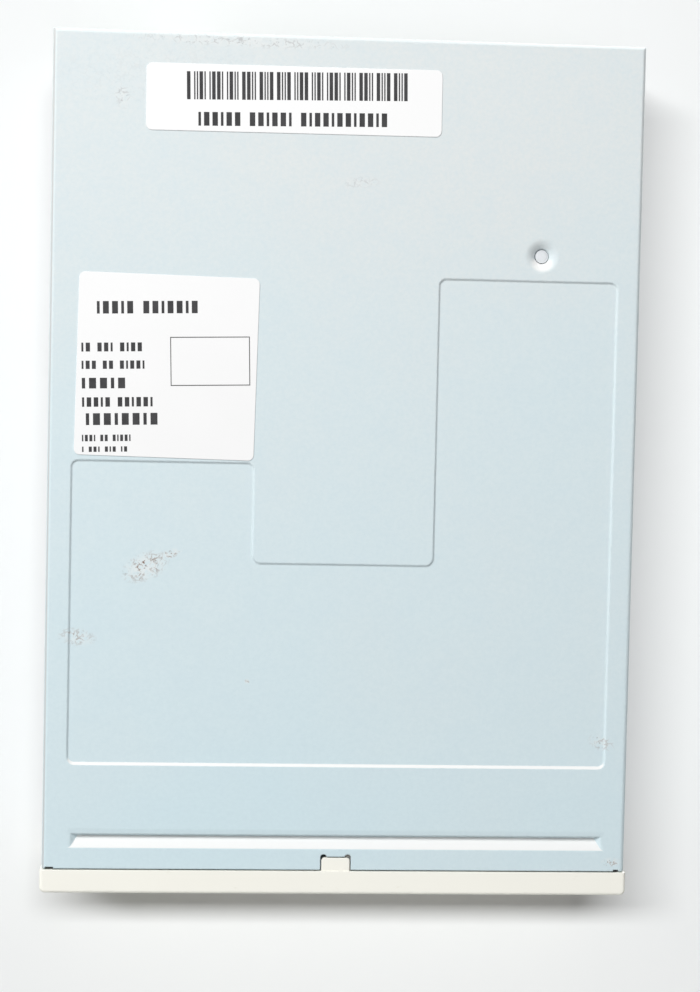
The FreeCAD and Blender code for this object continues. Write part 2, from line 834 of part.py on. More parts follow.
# Moulded front with the disk slot, the button and lamp windows and the finger scoop
def front_bezel():
    half = "bezel_out"
    shell = prism("XY_Plane", rectangle((f"-{half}", half), ("front", "bezel_back")), "0", "bezel_top", "face")
    front = value("front")
    dress(shell, "Fillet", "bezel_corner", lambda box: upright(box) and box.YMax < front + 0.01, "face_corner")
    dress(shell, "Fillet", "bezel_edge",
          lambda box: box.ZLength < 0.01 and box.YMin < front + 0.01 and box.XLength > 0.5, "face_edge")
    hollow = block(("-bezel_in", "bezel_in"), ("bezel_inside", "bezel_back + 1"),
                   ("bezel_rim", "bezel_top - bezel_rim"))
    extra, holes = [], []
    for side in (1, -1):
        boss = ("door_boss_in", "bezel_in + 0.1")
        extra.append(block(mirrored(boss, side), ("bezel_inside - 0.1", "door_y + door_boss / 2"),
                           about("door_z", "door_boss")))
        holes.append(rod("x", mirrored(("door_boss_in - 1", "bezel_in"), side), "door_y", "door_z",
                         "door_pin + running_gap"))
        outer = "foot_in - clip_clear"
        arm_end = "bezel_back + clip_length"
        level = ("clip_level", "clip_level + clip_height")
        extra.append(block(mirrored((f"{outer} - clip_thick", outer), side), ("bezel_inside - 0.1", arm_end),
                           level))
        hook_y = f"{arm_end} - hook_length"
        hook = [(f"{outer} - 0.1", hook_y), (f"{outer} + hook_width", hook_y), (f"{outer} - 0.1", arm_end)]
        points = [(x if side > 0 else f"-({x})", y) for x, y in hook]
        extra.append(prism("XY_Plane", points, *level, name="hook"))
    reach = "body_front + notch_depth - tongue_clear"
    half = "notch_half - tongue_clear"
    tongue = prism("XY_Plane", rectangle((f"-({half})", half), ("bezel_back - 1", reach)),
                   "cover_top - tongue_thick", "cover_top", "tongue")
    back = value(reach) - 0.01
    dress(tongue, "Fillet", "tongue_corner", lambda box: upright(box) and box.YMin > back, "tongue_corner")
    extra.append(tongue)
    past = ("front - 1", "bezel_inside + 1")
    holes.append(block(("-slot_half", "slot_half"), past, ("slot_low", "slot_high")))
    holes.append(wedge("slot_half", ("slot_low", "slot_high"), "slot_lead", "slot_lead"))
    middle = "(slot_low + slot_high) / 2"
    low, high = about(middle, "scoop_height / 2")
    holes.append(wedge("scoop_half - scoop_bevel", (f"{low} + scoop_bevel", f"{high} - scoop_bevel"),
                       "scoop_bevel", "scoop_depth"))
    window = about("button_level", "button_height / 2 + button_clear")
    holes.append(block(about("button_x", "button_width / 2 + button_clear"), past, window))
    window = about("button_level", "lamp_height / 2 + lamp_clear")
    holes.append(block(about("lamp_x", "lamp_width / 2 + lamp_clear"), past, window))
    return node(cut(join([cut(shell, [hollow]), *extra]), holes), "front_bezel")


def wedge(half, z, slope, depth):
    """A sloped mouth in the front face, wider in front by its slope on each side."""
    low, high = z
    made = doc.addObject("Part::Wedge", fresh("mouth"))
    wide = {"Xmin": f"-({half}) - {slope}", "Xmax": f"({half}) + {slope}", "Zmin": f"{low} - {slope}",
            "Zmax": f"{high} + {slope}", "X2min": f"-({half})", "X2max": half, "Z2min": low, "Z2max": high,
            "Ymin": "front", "Ymax": f"front + {depth}"}
    for side, text in wide.items():
        made.setExpression(side, bound(text))
    return made


def activity_lamp():
    lens = block(about("lamp_x", "lamp_width / 2"), ("front + lamp_inset", "front + lamp_length"),
                 about("button_level", "lamp_height / 2"), "lens")
    node(lens, "lamp_lens")
    back = "front + lamp_length + 0.1"
    holder = block(about("lamp_x", "lamp_width / 2 + lamp_case_wall"), (back, f"{back} + lamp_case"),
                   ("floor_top", "button_level + lamp_height"), "lamp")
    return node(holder, "lamp_holder")


# Dust door behind the slot, with its pins in the front's bosses
def dust_door():
    span = ("-door_half", "door_half")
    flap = block(span, ("door_front", "door_front + door_thick"), ("slot_low - door_tail", "door_z"))
    knuckle = rod("x", span, "door_y", "door_z", "door_knuckle")
    end = "(bezel_in - door_side_clear)"
    pins = rod("x", (f"-{end}", end), "door_y", "door_z", "door_pin")
    bridge = block(span, ("door_front", "door_y"), ("door_z - door_knuckle", "door_z"))
    node(join([flap, knuckle, pins, bridge]), "dust_door")
    loose = rod("x", mirrored(("door_half + 0.1", "door_boss_in - 0.1"), -1), "door_y", "door_z",
                "door_pin + 0.1 + door_spring_wall")
    bore = rod("x", mirrored(("door_half", "door_boss_in"), -1), "door_y", "door_z", "door_pin + 0.1")
    return node(cut(loose, [bore]), "door_spring")


# Disk holder: a folded steel cradle with four pins, which drops with the disk
def disk_holder():
    run = ("holder_front", "holder_rear")
    top = block(("-holder_out", "holder_out"), run, ("holder_ceiling", "holder_top"), "holder_top")
    parts = [top]
    for side in (1, -1):
        parts.append(block(mirrored(("holder_in", "holder_out"), side), run, ("holder_low", "holder_top")))
        parts.append(block(mirrored(("holder_in - holder_lip", "holder_out"), side),
                           ("holder_front", "disk_lead - 1"), ("holder_low", "disk_level")))
    stop = ("disk_lead + stop_gap", "disk_lead + stop_gap + holder_sheet")
    low = ("disk_level + stop_rise", "holder_ceiling + 0.1")
    left, right = "(stop_left - disk_half)", "(disk_half - stop_right)"
    parts.append(block((left, f"{left} + stop_width"), stop, low))
    parts.append(block((f"{right} - stop_width * 0.6", right), stop, low))
    parts.append(block(about("lever_x", "holder_pad"), ("holder_rear - 1", "lever_y + holder_pad_rear"),
                       ("holder_ceiling", "holder_top")))
    past = ("holder_ceiling - 1", "holder_top + 1")
    gap_front = "track_zero - arm_front - head_stroke - head_gap_clear"
    holes = [block(("-head_gap_half", "head_gap_half"), (gap_front, "holder_rear + 1"), past)]
    for side in (1, -1):
        holes.append(block(mirrored(("holder_window_near", "holder_in - holder_window_side"), side),
                           about("spindle_y", "holder_window_half"), past))
    holes += lever_path(past)
    node(cut(join(parts), holes), "disk_holder")
    tip = "wall_out - pin_short"
    pins = [rod("x", mirrored(("holder_out", tip), side), y, "pin_level", "pin_radius", "pin")
            for side in (1, -1) for y in PIN_ROWS]
    return node(group(pins), "holder_pins")


def lever_path(levels):
    """The arc that the lever's pin sweeps, as cutting tools."""
    half = "(lever_pin_radius + lever_slot)"
    outer = rod("z", "lever_x", "lever_y", levels, f"lever_reach + {half}", "sweep")
    outer.setExpression("Angle", bound("lever_swing"))
    outer.setExpression("Placement.Rotation.Angle", bound("lever_start - lever_swing"))
    inner = rod("z", "lever_x", "lever_y", levels, f"lever_reach - {half}", "sweep_inner")
    ends = []
    for angle in ("(lever_start)", "(lever_start - lever_swing)"):
        ends.append(rod("z", f"lever_x + lever_reach * cos{angle}", f"lever_y + lever_reach * sin{angle}",
                        levels, half, "sweep_end"))
    return [cut(outer, [inner], "sweep_cut"), *ends]


# Slider over the holder: its sloped slots move the four pins, and its arm carries the button
def cam_slot(y, side):
    """A sloped slot from the pin's place at rest to its place with a disk in."""
    radius = "(pin_radius + pin_clear)"
    across = mirrored(("slider_in - 1", "slider_out + 1"), side)
    ends = [rod("x", across, y, "pin_level", radius),
            rod("x", across, f"{y} + slide_travel", "pin_level - disk_drop", radius)]
    slope = "atan(disk_drop / slide_travel)"
    made = bar(f"({across[1]}) - ({across[0]})", "sqrt(slide_travel ^ 2 + disk_drop ^ 2)", f"2 * {radius}",
               "ramp")
    made.Placement.Rotation = Rotation(Vector(-1, 0, 0), 10)
    made.setExpression("Placement.Rotation.Angle", bound(slope))
    put(made, across[0], f"{y} - {radius} * sin({slope})", f"pin_level - {radius} * cos({slope})")
    return [made, *ends]


def slider():
    run = ("slider_front", "slider_rear")
    plate = block(("-slider_out", "slider_out"), run, ("slider_low", "slider_top"), "slider_top")
    gap = block(("-slider_gap_half", "slider_gap_half"), ("slider_front + slider_bridge", "slider_rear + 1"),
                ("slider_low - 1", "slider_top + 1"))
    parts, slots = [plate], [gap]
    for side in (1, -1):
        wall = mirrored(("slider_in", "slider_out"), side)
        parts.append(block(wall, run, ("slider_skirt", "slider_top")))
        parts.append(block(wall, about("spring_rear", "slider_ear_half"),
                           ("spring_level - spring_seat", "slider_skirt + 0.5")))
        parts.append(block(mirrored(("spring_x - 1", "slider_out"), side),
                           ("spring_rear", "spring_rear + slider_sheet"),
                           about("spring_level", "spring_seat")))
        for y in PIN_ROWS:
            slots += cam_slot(y, side)
    parts.append(block(("slider_in", "slider_out"), ("tab_y", "slider_front + slider_arm_width"),
                       ("slider_arm_low", "slider_skirt + 0.4")))
    parts.append(block(("button_x - slider_tab_half", "slider_out"), ("tab_y", "tab_y + slider_sheet"),
                       ("slider_arm_low + 0.3", "button_level + slider_tab_rise")))
    node(cut(join(parts), slots), "slider_plate")
    face = prism("XZ_Plane", rectangle(about("button_x", "button_width / 2"),
                 about("button_level", "button_height / 2")), "front + button_inset", "tab_y", "button")
    front = value("front + button_inset") + 0.01
    dress(face, "Fillet", "button_edge", lambda box: box.YMax < front, "button_round")
    return node(face, "eject_button")


def coil(axis_y, radius, wire, pitch, x, z, name):
    """An open coil of round wire along Y between two limits."""
    low, high = axis_y
    line = doc.addObject("Part::Helix", fresh(name + "_line"))
    line.setExpression("Pitch", bound(pitch))
    line.setExpression("Height", bound(f"({high}) - ({low}) - 2 * {wire}"))
    line.setExpression("Radius", bound(radius))
    ring = doc.addObject("Part::Circle", fresh(name + "_wire"))
    ring.setExpression("Radius", bound(wire))
    ring.Placement.Rotation = Rotation(Vector(1, 0, 0), 90)
    ring.setExpression("Placement.Base.x", bound(radius))
    doc.recompute()
    made = doc.addObject("Part::Sweep", fresh(name))
    made.Sections = [ring]
    made.Spine = (line, ["Edge1"])
    made.Solid = True
    made.Frenet = True
    made.Placement.Rotation = AXES["y"]
    return put(made, x, f"({low}) + {wire}", z)


def eject_springs():
    run = ("spring_front + spring_post_radius + spring_gap", "spring_rear - spring_gap")
    for side, label in ((1, "eject_spring_right"), (-1, "eject_spring_left")):
        node(coil(run, "spring_radius", "spring_wire", "spring_pitch", f"{side} * spring_x", "spring_level",
                  "spring"), label)


# Shutter lever on its post: it opens the disk's shutter as the disk goes in
def shutter_lever():
    levels = ("lever_low", "lever_top")
    hub = rod("z", "lever_x", "lever_y", levels, "post_radius + lever_hub_wall", "lever_hub")
    arm = turned(bar("lever_reach", "lever_width", "lever_sheet"), "lever_x", "lever_y", "lever_low",
                 "lever_start", across="-lever_width / 2")
    tail = turned(bar("lever_tail", "lever_width", "lever_sheet"), "lever_x", "lever_y", "lever_low",
                  "lever_start + lever_tail_turn", across="-lever_width / 2")
    tip_x = "lever_x + lever_reach * cos(lever_start)"
    tip_y = "lever_y + lever_reach * sin(lever_start)"
    tip = rod("z", tip_x, tip_y, levels, "lever_width / 2 + 0.2", "lever_tip")
    pin = rod("z", tip_x, tip_y, ("disk_level + lever_pin_low", "lever_top"), "lever_pin_radius", "lever_pin")
    bore = rod("z", "lever_x", "lever_y", ("lever_low - 1", "lever_top + 1"), "post_radius + running_gap")
    node(cut(join([hub, arm, tail, tip, pin]), [bore]), "shutter_lever")
    post = [rod("z", "lever_x", "lever_y", ("holder_top", "shoulder"), "post_radius", "post"),
            rod("z", "lever_x", "lever_y", ("shoulder - 0.1", "post_top"), "post_tip_radius", "post_tip")]
    node(join(post), "lever_post")
    rise = ("shoulder + 0.1", "shoulder + 0.1 + lever_spring_rise")
    ring = rod("z", "lever_x", "lever_y", rise, "post_tip_radius + 0.15 + lever_spring_wire", "ring")
    bore = rod("z", "lever_x", "lever_y", ("lever_top", "shoulder + 2"), "post_tip_radius + 0.15")
    return node(cut(ring, [bore]), "lever_spring")


# Spindle motor: a plate with its bearing and coils, and a flat rotor that carries the disk's hub
def spindle_motor():
    reach, corner = "plate_half", "(plate_half - plate_corner)"
    rear, low = "spindle_y + plate_half - plate_short", "spindle_y - plate_half"
    bevel = f"{low} + plate_corner"
    outline = [(f"-{corner}", low), (corner, low), (reach, bevel), (reach, rear), (f"-{reach}", rear),
               (f"-{reach}", bevel)]
    plate = prism("XY_Plane", outline, "plate_low", "floor_level", "plate")
    past = ("plate_low - 1", "floor_level + 1")
    holes = [rod("z", "0", "spindle_y", past, "housing_radius + running_gap")]
    holes += [rod("z", x, y, past, "screw_hole - 0.2") for x, y in floor_screws()[4:]]
    node(cut(plate, holes), "motor_plate")

    barrel_top = "rotor_top - rotor_sheet - housing_clear"
    housing = join([
        rod("z", "0", "spindle_y", ("flange_bottom", "plate_low"), "housing_flange"),
        rod("z", "0", "spindle_y", ("flange_bottom - housing_cap", "flange_bottom"),
            "bearing_radius + housing_cap_wall"),
        rod("z", "0", "spindle_y", ("plate_low", barrel_top), "housing_radius"),
        rod("z", "0", "spindle_y", ("floor_level", "core_level"), "housing_radius + housing_shoulder")])
    bore = rod("z", "0", "spindle_y", ("flange_bottom", f"{barrel_top} + 1"), "bearing_radius + running_gap")
    node(cut(housing, [bore]), "bearing_housing")
    sleeve = rod("z", "0", "spindle_y", ("plate_low - 0.3", f"{barrel_top} - 0.1"), "bearing_radius")
    bore = rod("z", "0", "spindle_y", ("plate_low - 1", f"{barrel_top} + 1"), "shaft_radius + running_gap")
    node(cut(sleeve, [bore]), "spindle_bearing")
    stator()

    inner = "(rotor_radius - rotor_sheet)"
    cup = rod("z", "0", "spindle_y", ("rotor_skirt", "rotor_top"), "rotor_radius", "cup")
    hollow = rod("z", "0", "spindle_y", ("rotor_skirt - 1", "rotor_top - rotor_sheet"), inner)
    eye = rod("z", "0", "spindle_y", ("rotor_skirt", "rotor_top + 1"), "shaft_radius + hub_boss")
    node(cut(cup, [hollow, eye]), "rotor_cup")
    rise = ("rotor_skirt + magnet_rise", "rotor_skirt + magnet_rise + magnet_height")
    ring = rod("z", "0", "spindle_y", rise, inner + " - running_gap", "magnet")
    bore = rod("z", "0", "spindle_y", ("rotor_skirt", "rotor_top"), f"{inner} - magnet_thick")
    node(cut(ring, [bore]), "rotor_magnet")
    table = rod("z", "0", "spindle_y", ("rotor_top", "hub_top - hub_bevel"), "hub_radius", "hub")
    lip = cone("z", "0", "spindle_y", ("hub_top - hub_bevel", "hub_top"), "hub_radius",
               "hub_radius - hub_bevel")
    boss = rod("z", "0", "spindle_y", ("rotor_top - rotor_sheet", "rotor_top + 0.1"),
               "shaft_radius + hub_boss - 0.05")
    bore = rod("z", "0", "spindle_y", ("rotor_skirt", "hub_top + 1"), "shaft_radius + 0.01")
    node(cut(join([table, lip, boss]), [bore]), "spindle_hub")
    top = "hub_top + shaft_rise"
    neck = f"{top} - shaft_cone"
    shaft = join([rod("z", "0", "spindle_y", ("plate_low - shaft_below", neck), "shaft_radius", "shaft"),
                  cone("z", "0", "spindle_y", (neck, top), "shaft_radius", "shaft_radius - 0.5")])
    node(shaft, "spindle_shaft")
    pin = rod("z", "drive_pin_place", "spindle_y", ("hub_top", "hub_top + drive_pin_height"),
              "drive_pin_radius", "drive_pin")
    node(pin, "drive_pin")


def stator():
    """A laminated core of teeth on the bearing's housing, and a coil round each tooth."""
    teeth, coils = [rod("z", "0", "spindle_y", ("core_level", "core_top"), "core_ring", "core")], []
    for at in range(int(value("tooth_count"))):
        angle = f"({at} * 360 / tooth_count)"
        tooth = bar("tooth_tip - core_ring + 0.5", "tooth_width", "core_sheet", "tooth")
        teeth.append(turned(tooth, "0", "spindle_y", "core_level", angle, "core_ring - 0.5",
                            "-tooth_width / 2"))
        shoe = bar("shoe_length", "shoe_width", "core_sheet", "shoe")
        teeth.append(turned(shoe, "0", "spindle_y", "core_level", angle, "tooth_tip - shoe_length",
                            "-shoe_width / 2"))
        width = "(tooth_width + 2 * coil_thick)"
        loop = bar("coil_length", width, "core_sheet + 2 * coil_height", "coil")
        turned(loop, "0", "spindle_y", "core_level - coil_height", angle, "core_ring + coil_setback",
               f"-{width} / 2")
        bore = bar("coil_length + 2", "tooth_width + 0.1", "core_sheet + 0.1", "coil_bore")
        turned(bore, "0", "spindle_y", "core_level - 0.05", angle, "core_ring", "-(tooth_width + 0.1) / 2")
        coils.append(cut(loop, [bore], "coil_cut"))
    eye = rod("z", "0", "spindle_y", ("core_level - 1", "core_top + 1"), "housing_radius + running_gap")
    node(cut(join(teeth), [eye]), "stator_core")
    node(group(coils), "stator_coils")
    sensor = block(about("rotor_radius - index_inset", "index_half"), about("spindle_y", "1"),
                   ("floor_level", "rotor_skirt - magnet_rise"))
    node(sensor, "index_sensor")


# Head drive: a stepping motor on a bracket, whose grooved screw moves the head carriage along a rod
def head_drive():
    left, right = "screw_place - bracket_left", "screw_place + bracket_right"
    base_top = "floor_top + bracket_sheet"
    front_face = "thread_front - bracket_front"
    bracket = [block((left, right), (front_face, "stepper_front"), ("floor_top", base_top), "bracket"),
               block((left, "screw_place + 6"), ("stepper_front - bracket_sheet", "stepper_front"),
                     ("floor_top", "drive_level + stepper_radius")),
               block(about("screw_place", "4"), (front_face, f"{front_face} + bracket_sheet"),
                     ("floor_top", "drive_level + 1.9"))]
    holes = [rod("y", "screw_place", (f"{front_face} - 1", f"{front_face} + 2"), "drive_level",
                 "journal_radius + bush_wall"),
             rod("y", "screw_place", ("stepper_front - 2", "stepper_front + 1"), "drive_level", "2.2")]
    for x, y in bracket_screws():
        holes.append(rod("z", x, y, ("floor_level", f"{base_top} + 1"), "screw_hole - 0.2"))
    node(cut(join(bracket), holes), "stepper_bracket")
    bush = rod("y", "screw_place", (f"{front_face} - 0.4", f"{front_face} + 1.2"), "drive_level",
               "journal_radius + bush_wall - running_gap", "bush")
    bore = rod("y", "screw_place", (f"{front_face} - 1", f"{front_face} + 2"), "drive_level",
               "journal_radius + running_gap")
    node(cut(bush, [bore]), "screw_bearing")
    can = join([rod("y", "screw_place", ("stepper_front", "stepper_back"), "drive_level", "stepper_radius",
                    "can"),
                rod("y", "screw_place", ("stepper_back", "stepper_back + stepper_boss"), "drive_level",
                    "stepper_radius - 2.2"),
                block(about("screw_place", "3.2"), ("stepper_back - 5", "stepper_back - 1"),
                      ("drive_level + stepper_radius - 1", "drive_level + stepper_radius + 1.4"))])
    bore = rod("y", "screw_place", ("stepper_front - 1", "stepper_back + 2"), "drive_level",
               "journal_radius + running_gap")
    node(cut(can, [bore]), "stepper_motor")

    # The groove starts a whole number of turns before the carriage's follower, and ends inside the thread
    thread_low = "(follower_y - floor((follower_y - thread_front - 1) / screw_lead) * screw_lead)"
    screw = [rod("y", "screw_place", ("thread_front", "thread_rear"), "drive_level", "screw_radius", "screw"),
             rod("y", "screw_place", (f"{front_face} - 0.3", "stepper_back + 0.6"), "drive_level",
                 "journal_radius")]
    line = doc.addObject("Part::Helix", fresh("thread_line"))
    line.setExpression("Pitch", bound("screw_lead"))
    line.setExpression("Height", bound(f"thread_rear - 1 - {thread_low}"))
    line.setExpression("Radius", bound("screw_radius + groove_centre"))
    ring = doc.addObject("Part::Circle", fresh("thread_round"))
    ring.setExpression("Radius", bound("groove_round"))
    ring.Placement.Rotation = Rotation(Vector(1, 0, 0), 90)
    ring.setExpression("Placement.Base.x", bound("screw_radius + groove_centre"))
    doc.recompute()
    groove = doc.addObject("Part::Sweep", fresh("thread"))
    groove.Sections = [ring]
    groove.Spine = (line, ["Edge1"])
    groove.Solid = True
    groove.Frenet = True
    groove.Placement.Rotation = AXES["y"]
    put(groove, "screw_place", thread_low, "drive_level")
    node(cut(join(screw), [groove]), "lead_screw")

    node(rod("y", "rod_place", ("rod_front", "rod_rear"), "drive_level", "rod_radius", "guide"), "guide_rod")
    clamps, ear_top = [], "floor_top + clamp_ear_thick"
    for low, high, top in (("rod_front", "rod_front + clamp_length", "loaded - 0.4"),
                           ("rod_rear - clamp_length", "rod_rear", "loaded + 0.6")):
        saddle = block(about("rod_place", "rod_radius + clamp_wall"), (low, high), ("floor_top", top), "saddle")
        ear = block(("rod_place", "rod_place + clamp_ear"), (low, high), ("floor_top", ear_top))
        x, y = clamp_screws()[len(clamps)]
        bore = rod("y", "rod_place", (f"{low} - 1", f"{high} + 1"), "drive_level", "rod_radius + 0.01")
        hole = rod("z", x, y, ("floor_level", "floor_top + 2"), "screw_hole - 0.2")
        clamps.append(cut(join([saddle, ear]), [bore, hole], "clamp"))
    node(group(clamps), "rod_clamps")
    screws = [screw_at(x, y, "floor_level", base_top) for x, y in bracket_screws()]
    screws += [screw_at(x, y, "floor_level", ear_top) for x, y in clamp_screws()]
    return node(group(screws), "mechanism_screws")


def bracket_screws():
    x, first = "screw_place - bracket_screw", "thread_front + bracket_screw_first"
    return [(x, first), (x, f"{first} + bracket_screw_pitch")]


def clamp_screws():
    x = "rod_place + clamp_screw"
    return [(x, "rod_front + clamp_length / 2"), (x, "rod_rear - clamp_length / 2")]


def screw_at(x, y, low, seat):
    """A pan-head screw that stands on a seat and reaches down."""
    slot_low = f"{seat} + screw_head_thick - screw_slot"
    head = cut(rod("z", x, y, (seat, f"{seat} + screw_head_thick"), "screw_head", "head"),
               [block(about(x, "screw_slot / 2"), about(y, "screw_head + 0.5"), (slot_low, f"{seat} + 2"))],
               "head_cut")
    return join([head, rod("z", x, y, (low, f"{seat} + 0.1"), "screw_hole - 0.25")], "fixing")


def head_carriage():
    """The sledge that carries both heads, at the outermost track."""
    body_top = "drive_level + 0.6"
    lug_top = "loaded - 0.3"
    ear_z = "arm_z + arm_pin + 1.1"
    post = ("arm_y - carriage_rear", "carriage_end")
    parts = [
        block(about("0", "sledge_half"), ("track_zero - sledge_front", "carriage_end"),
              ("carriage_low", body_top), "sledge"),
        block(("sledge_half - 0.1", "rod_place + rod_radius + 1.5"), ("track_zero - 2", post[0]),
              ("carriage_low", lug_top)),
        block(("-4", "4"), ("track_zero - 3.8", "track_zero + 4"), (f"{body_top} - 0.1", "loaded - 0.2")),
        block(("-7", "7"), post, (f"{body_top} - 0.1", "arm_low - 1.9")),
        block(("screw_place + 3.5", "0.1 - sledge_half"), about("follower_y", "3"),
              ("carriage_low + 0.7", "drive_level + 1.6")),
        block(("rod_place + 2.9", "rod_place + 8.9"), ("track_zero + 11", "track_zero + 12.5"),
              ("carriage_low + 0.2", "carriage_low + 1.2")),
        block(("rod_place + 8.1", "rod_place + 8.9"), ("track_zero + 11", "track_zero + 18.5"),
              ("carriage_low + 0.2", "drive_level + 1.2")),
    ]
    for side in (1, -1):
        parts.append(block(mirrored(("5", "7"), side), post, (f"{body_top} - 0.1", ear_z)))
    bores = [rod("y", "rod_place", ("track_zero - 4", "arm_y"), "drive_level", "rod_radius + running_gap"),
             rod("x", ("-8", "8"), "arm_y", "arm_z", "arm_pin + 0.01")]
    node(cut(join(parts), bores), "head_carriage")
    lower = block(("-head_width / 2", "head_width / 2"), about("track_zero", "head_half"),
                  ("loaded - 0.2", "media - 0.05"))
    node(lower, "lower_head")
    tip = "screw_place + screw_radius - follower_bite"
    follower = rod("x", (tip, "screw_place + 3.5"), "follower_y", "drive_level", "follower_radius", "follower")
    node(follower, "follower_pin")
    node(rod("x", ("-7", "7"), "arm_y", "arm_z", "arm_pin", "hinge"), "arm_pin")
    loose = rod("x", ("2.4", "4.7"), "arm_y", "arm_z", "arm_pin + 0.9")
    bore = rod("x", ("2", "5"), "arm_y", "arm_z", "arm_pin + 0.15")
    return node(cut(loose, [bore]), "arm_spring")


def head_arm():
    """The arm that lowers the upper head, built level and lifted about its hinge as with no disk."""
    arm_top = "arm_low + arm_sheet"
    bar_low = "holder_top - disk_drop + arm_rest"
    bar_y = ("arm_y - disk_drop / sin(arm_lift) - 1.9", "arm_y - disk_drop / sin(arm_lift) - 0.5")
    plate = block(("-arm_half", "arm_half"), ("track_zero - arm_front", "arm_y - 3.4"), ("arm_low", arm_top),
                  "arm")
    neck = block(("-4.6", "2"), ("arm_y - 3.5", "arm_y"), ("arm_low", arm_top))
    hub = rod("x", ("-4.6", "2"), "arm_y", "arm_z", "arm_pin + 1", "arm_hub")
    web = block(("-arm_half", "arm_half"), bar_y, (f"{arm_top} - 0.1", f"{bar_low} + 0.8"))
    wings = block(("-arm_half - arm_wing", "arm_half + arm_wing"), bar_y, (bar_low, f"{bar_low} + 0.8"))
    bore = rod("x", ("-6", "6"), "arm_y", "arm_z", "arm_pin + running_gap")
    arm = cut(join([plate, neck, hub, web, wings]), [bore], "arm_cut")
    upper = block(("-head_width / 2", "head_width / 2"), about("track_zero", "head_half"),
                  ("media + 0.15", "arm_low"), "upper")
    for thing, label in ((arm, "head_arm"), (upper, "upper_head")):
        lifted = group([thing], "lifted")
        lifted.Placement.Rotation = Rotation(Vector(-1, 0, 0), 10)
        lifted.setExpression("Placement.Rotation.Angle", bound("arm_lift"))
        put(lifted, "0", "arm_y * (1 - cos(arm_lift)) - arm_z * sin(arm_lift)",
            "arm_z * (1 - cos(arm_lift)) + arm_y * sin(arm_lift)")
        node(lifted, label)


# Circuit board under the rear of the floor, with its two connectors and its parts
def main_board():
    notch = "(foot_hole_x - foot_reach - board_notch)"
    notch_y = "(front + foot_hole_first + foot_hole_pitch + foot_length / 2 + 1)"
    outline = [(f"-{notch}", "board_front"), (notch, "board_front"), (notch, notch_y), ("board_half", notch_y),
               ("board_half", "board_rear"), ("-board_half", "board_rear"), ("-board_half", notch_y),
               (f"-{notch}", notch_y)]
    board = prism("XY_Plane", outline, "board_level", "board_top", "board")
    past = ("board_level - 1", "board_top + 1")
    holes = [rod("z", x, y, past, "screw_hole - 0.1") for x, y in floor_screws()[:4]]
    node(cut(board, holes), "main_board")
    # Each package's place from the middle and the board's front edge, its half width, half depth and height
    packages = [(-8, 26, 7, 7, 1.4), (17, 18, 5, 3.8, 1.5), (-30, 40, 3.9, 5, 1.5), (12, 40, 5.5, 2.2, 1.3),
                (-33, 14, 2.5, 1.8, 1.0), (33, 34, 2.5, 1.8, 1.0)]
    parts = []
    for x, y, across, deep, tall in packages:
        parts.append(block(about(x, across), about(f"board_front + {y}", deep),
                           (f"board_level - {tall}", "board_level"), "package"))
    for at in range(6):
        parts.append(block(about(f"({at} - 2.5) * small_part_pitch", "1"), about("board_rear - 14", "0.6"),
                           ("board_level - 0.6", "board_level"), "small_part"))
    socket_y = "board_front + cable_socket_place"
    parts.append(block(about("cable_place + cable_bend - 0.1", "cable_socket_half"),
                       (socket_y, f"{socket_y} + cable_socket_length"),
                       ("board_top", "board_top + cable_socket_height"), "cable_socket"))
    node(group(parts), "board_parts")
    connectors()


def connectors():
    shroud = block(about("header_x", "header_half"), ("header_front", "connector_rear"),
                   ("board_top", "board_top + header_height"), "header")
    inner = "(header_half - header_wall)"
    cavity = block(about("header_x", inner), ("header_front + socket_back", "connector_rear + 1"),
                   ("board_top + header_wall", "board_top + header_height - header_wall"))
    key = block(about("header_x", "key_half"), ("header_front + 2 * socket_back", "connector_rear + 1"),
                ("board_top + header_height - 2", "board_top + header_height + 1"))
    node(cut(shroud, [cavity, key]), "signal_connector")
    middle = "(board_top + header_height / 2)"
    pins = []
    for row in (-1, 1):
        for column in range(17):
            if row == 1 and column == 14:
                continue
            x = f"header_x + ({column} - 8) * pin_pitch"
            z = f"{middle} + {row} * pin_pitch / 2"
            pins.append(block(about(x, "pin_side / 2"), ("header_front + socket_back", "connector_rear - 1"),
                              about(z, "pin_side / 2"), "contact"))
    node(group(pins), "signal_pins")
    shroud = block(about("plug_x", "plug_half"), ("plug_front", "connector_rear"),
                   ("board_top", "board_top + plug_height"), "socket")
    cavity = block(about("plug_x", "plug_half - plug_wall"), ("plug_front + socket_back", "connector_rear + 1"),
                   ("board_top + plug_wall", "board_top + plug_height - plug_wall"))
    gate = block(about("plug_x", "gate_half"), ("plug_front + socket_back + 1", "connector_rear + 1"),
                 ("board_top + plug_height - 2", "board_top + plug_height + 1"))
    node(cut(shroud, [cavity, gate]), "power_connector")
    pins = []
    for column in range(4):
        x = f"plug_x + ({column} - 1.5) * plug_pitch"
        pins.append(block(about(x, "plug_pin / 2"), ("plug_front + socket_back", "connector_rear - 1.4"),
                          about("board_top + plug_height / 2 - 0.6", "plug_pin / 2"), "contact"))
    node(group(pins), "power_pins")


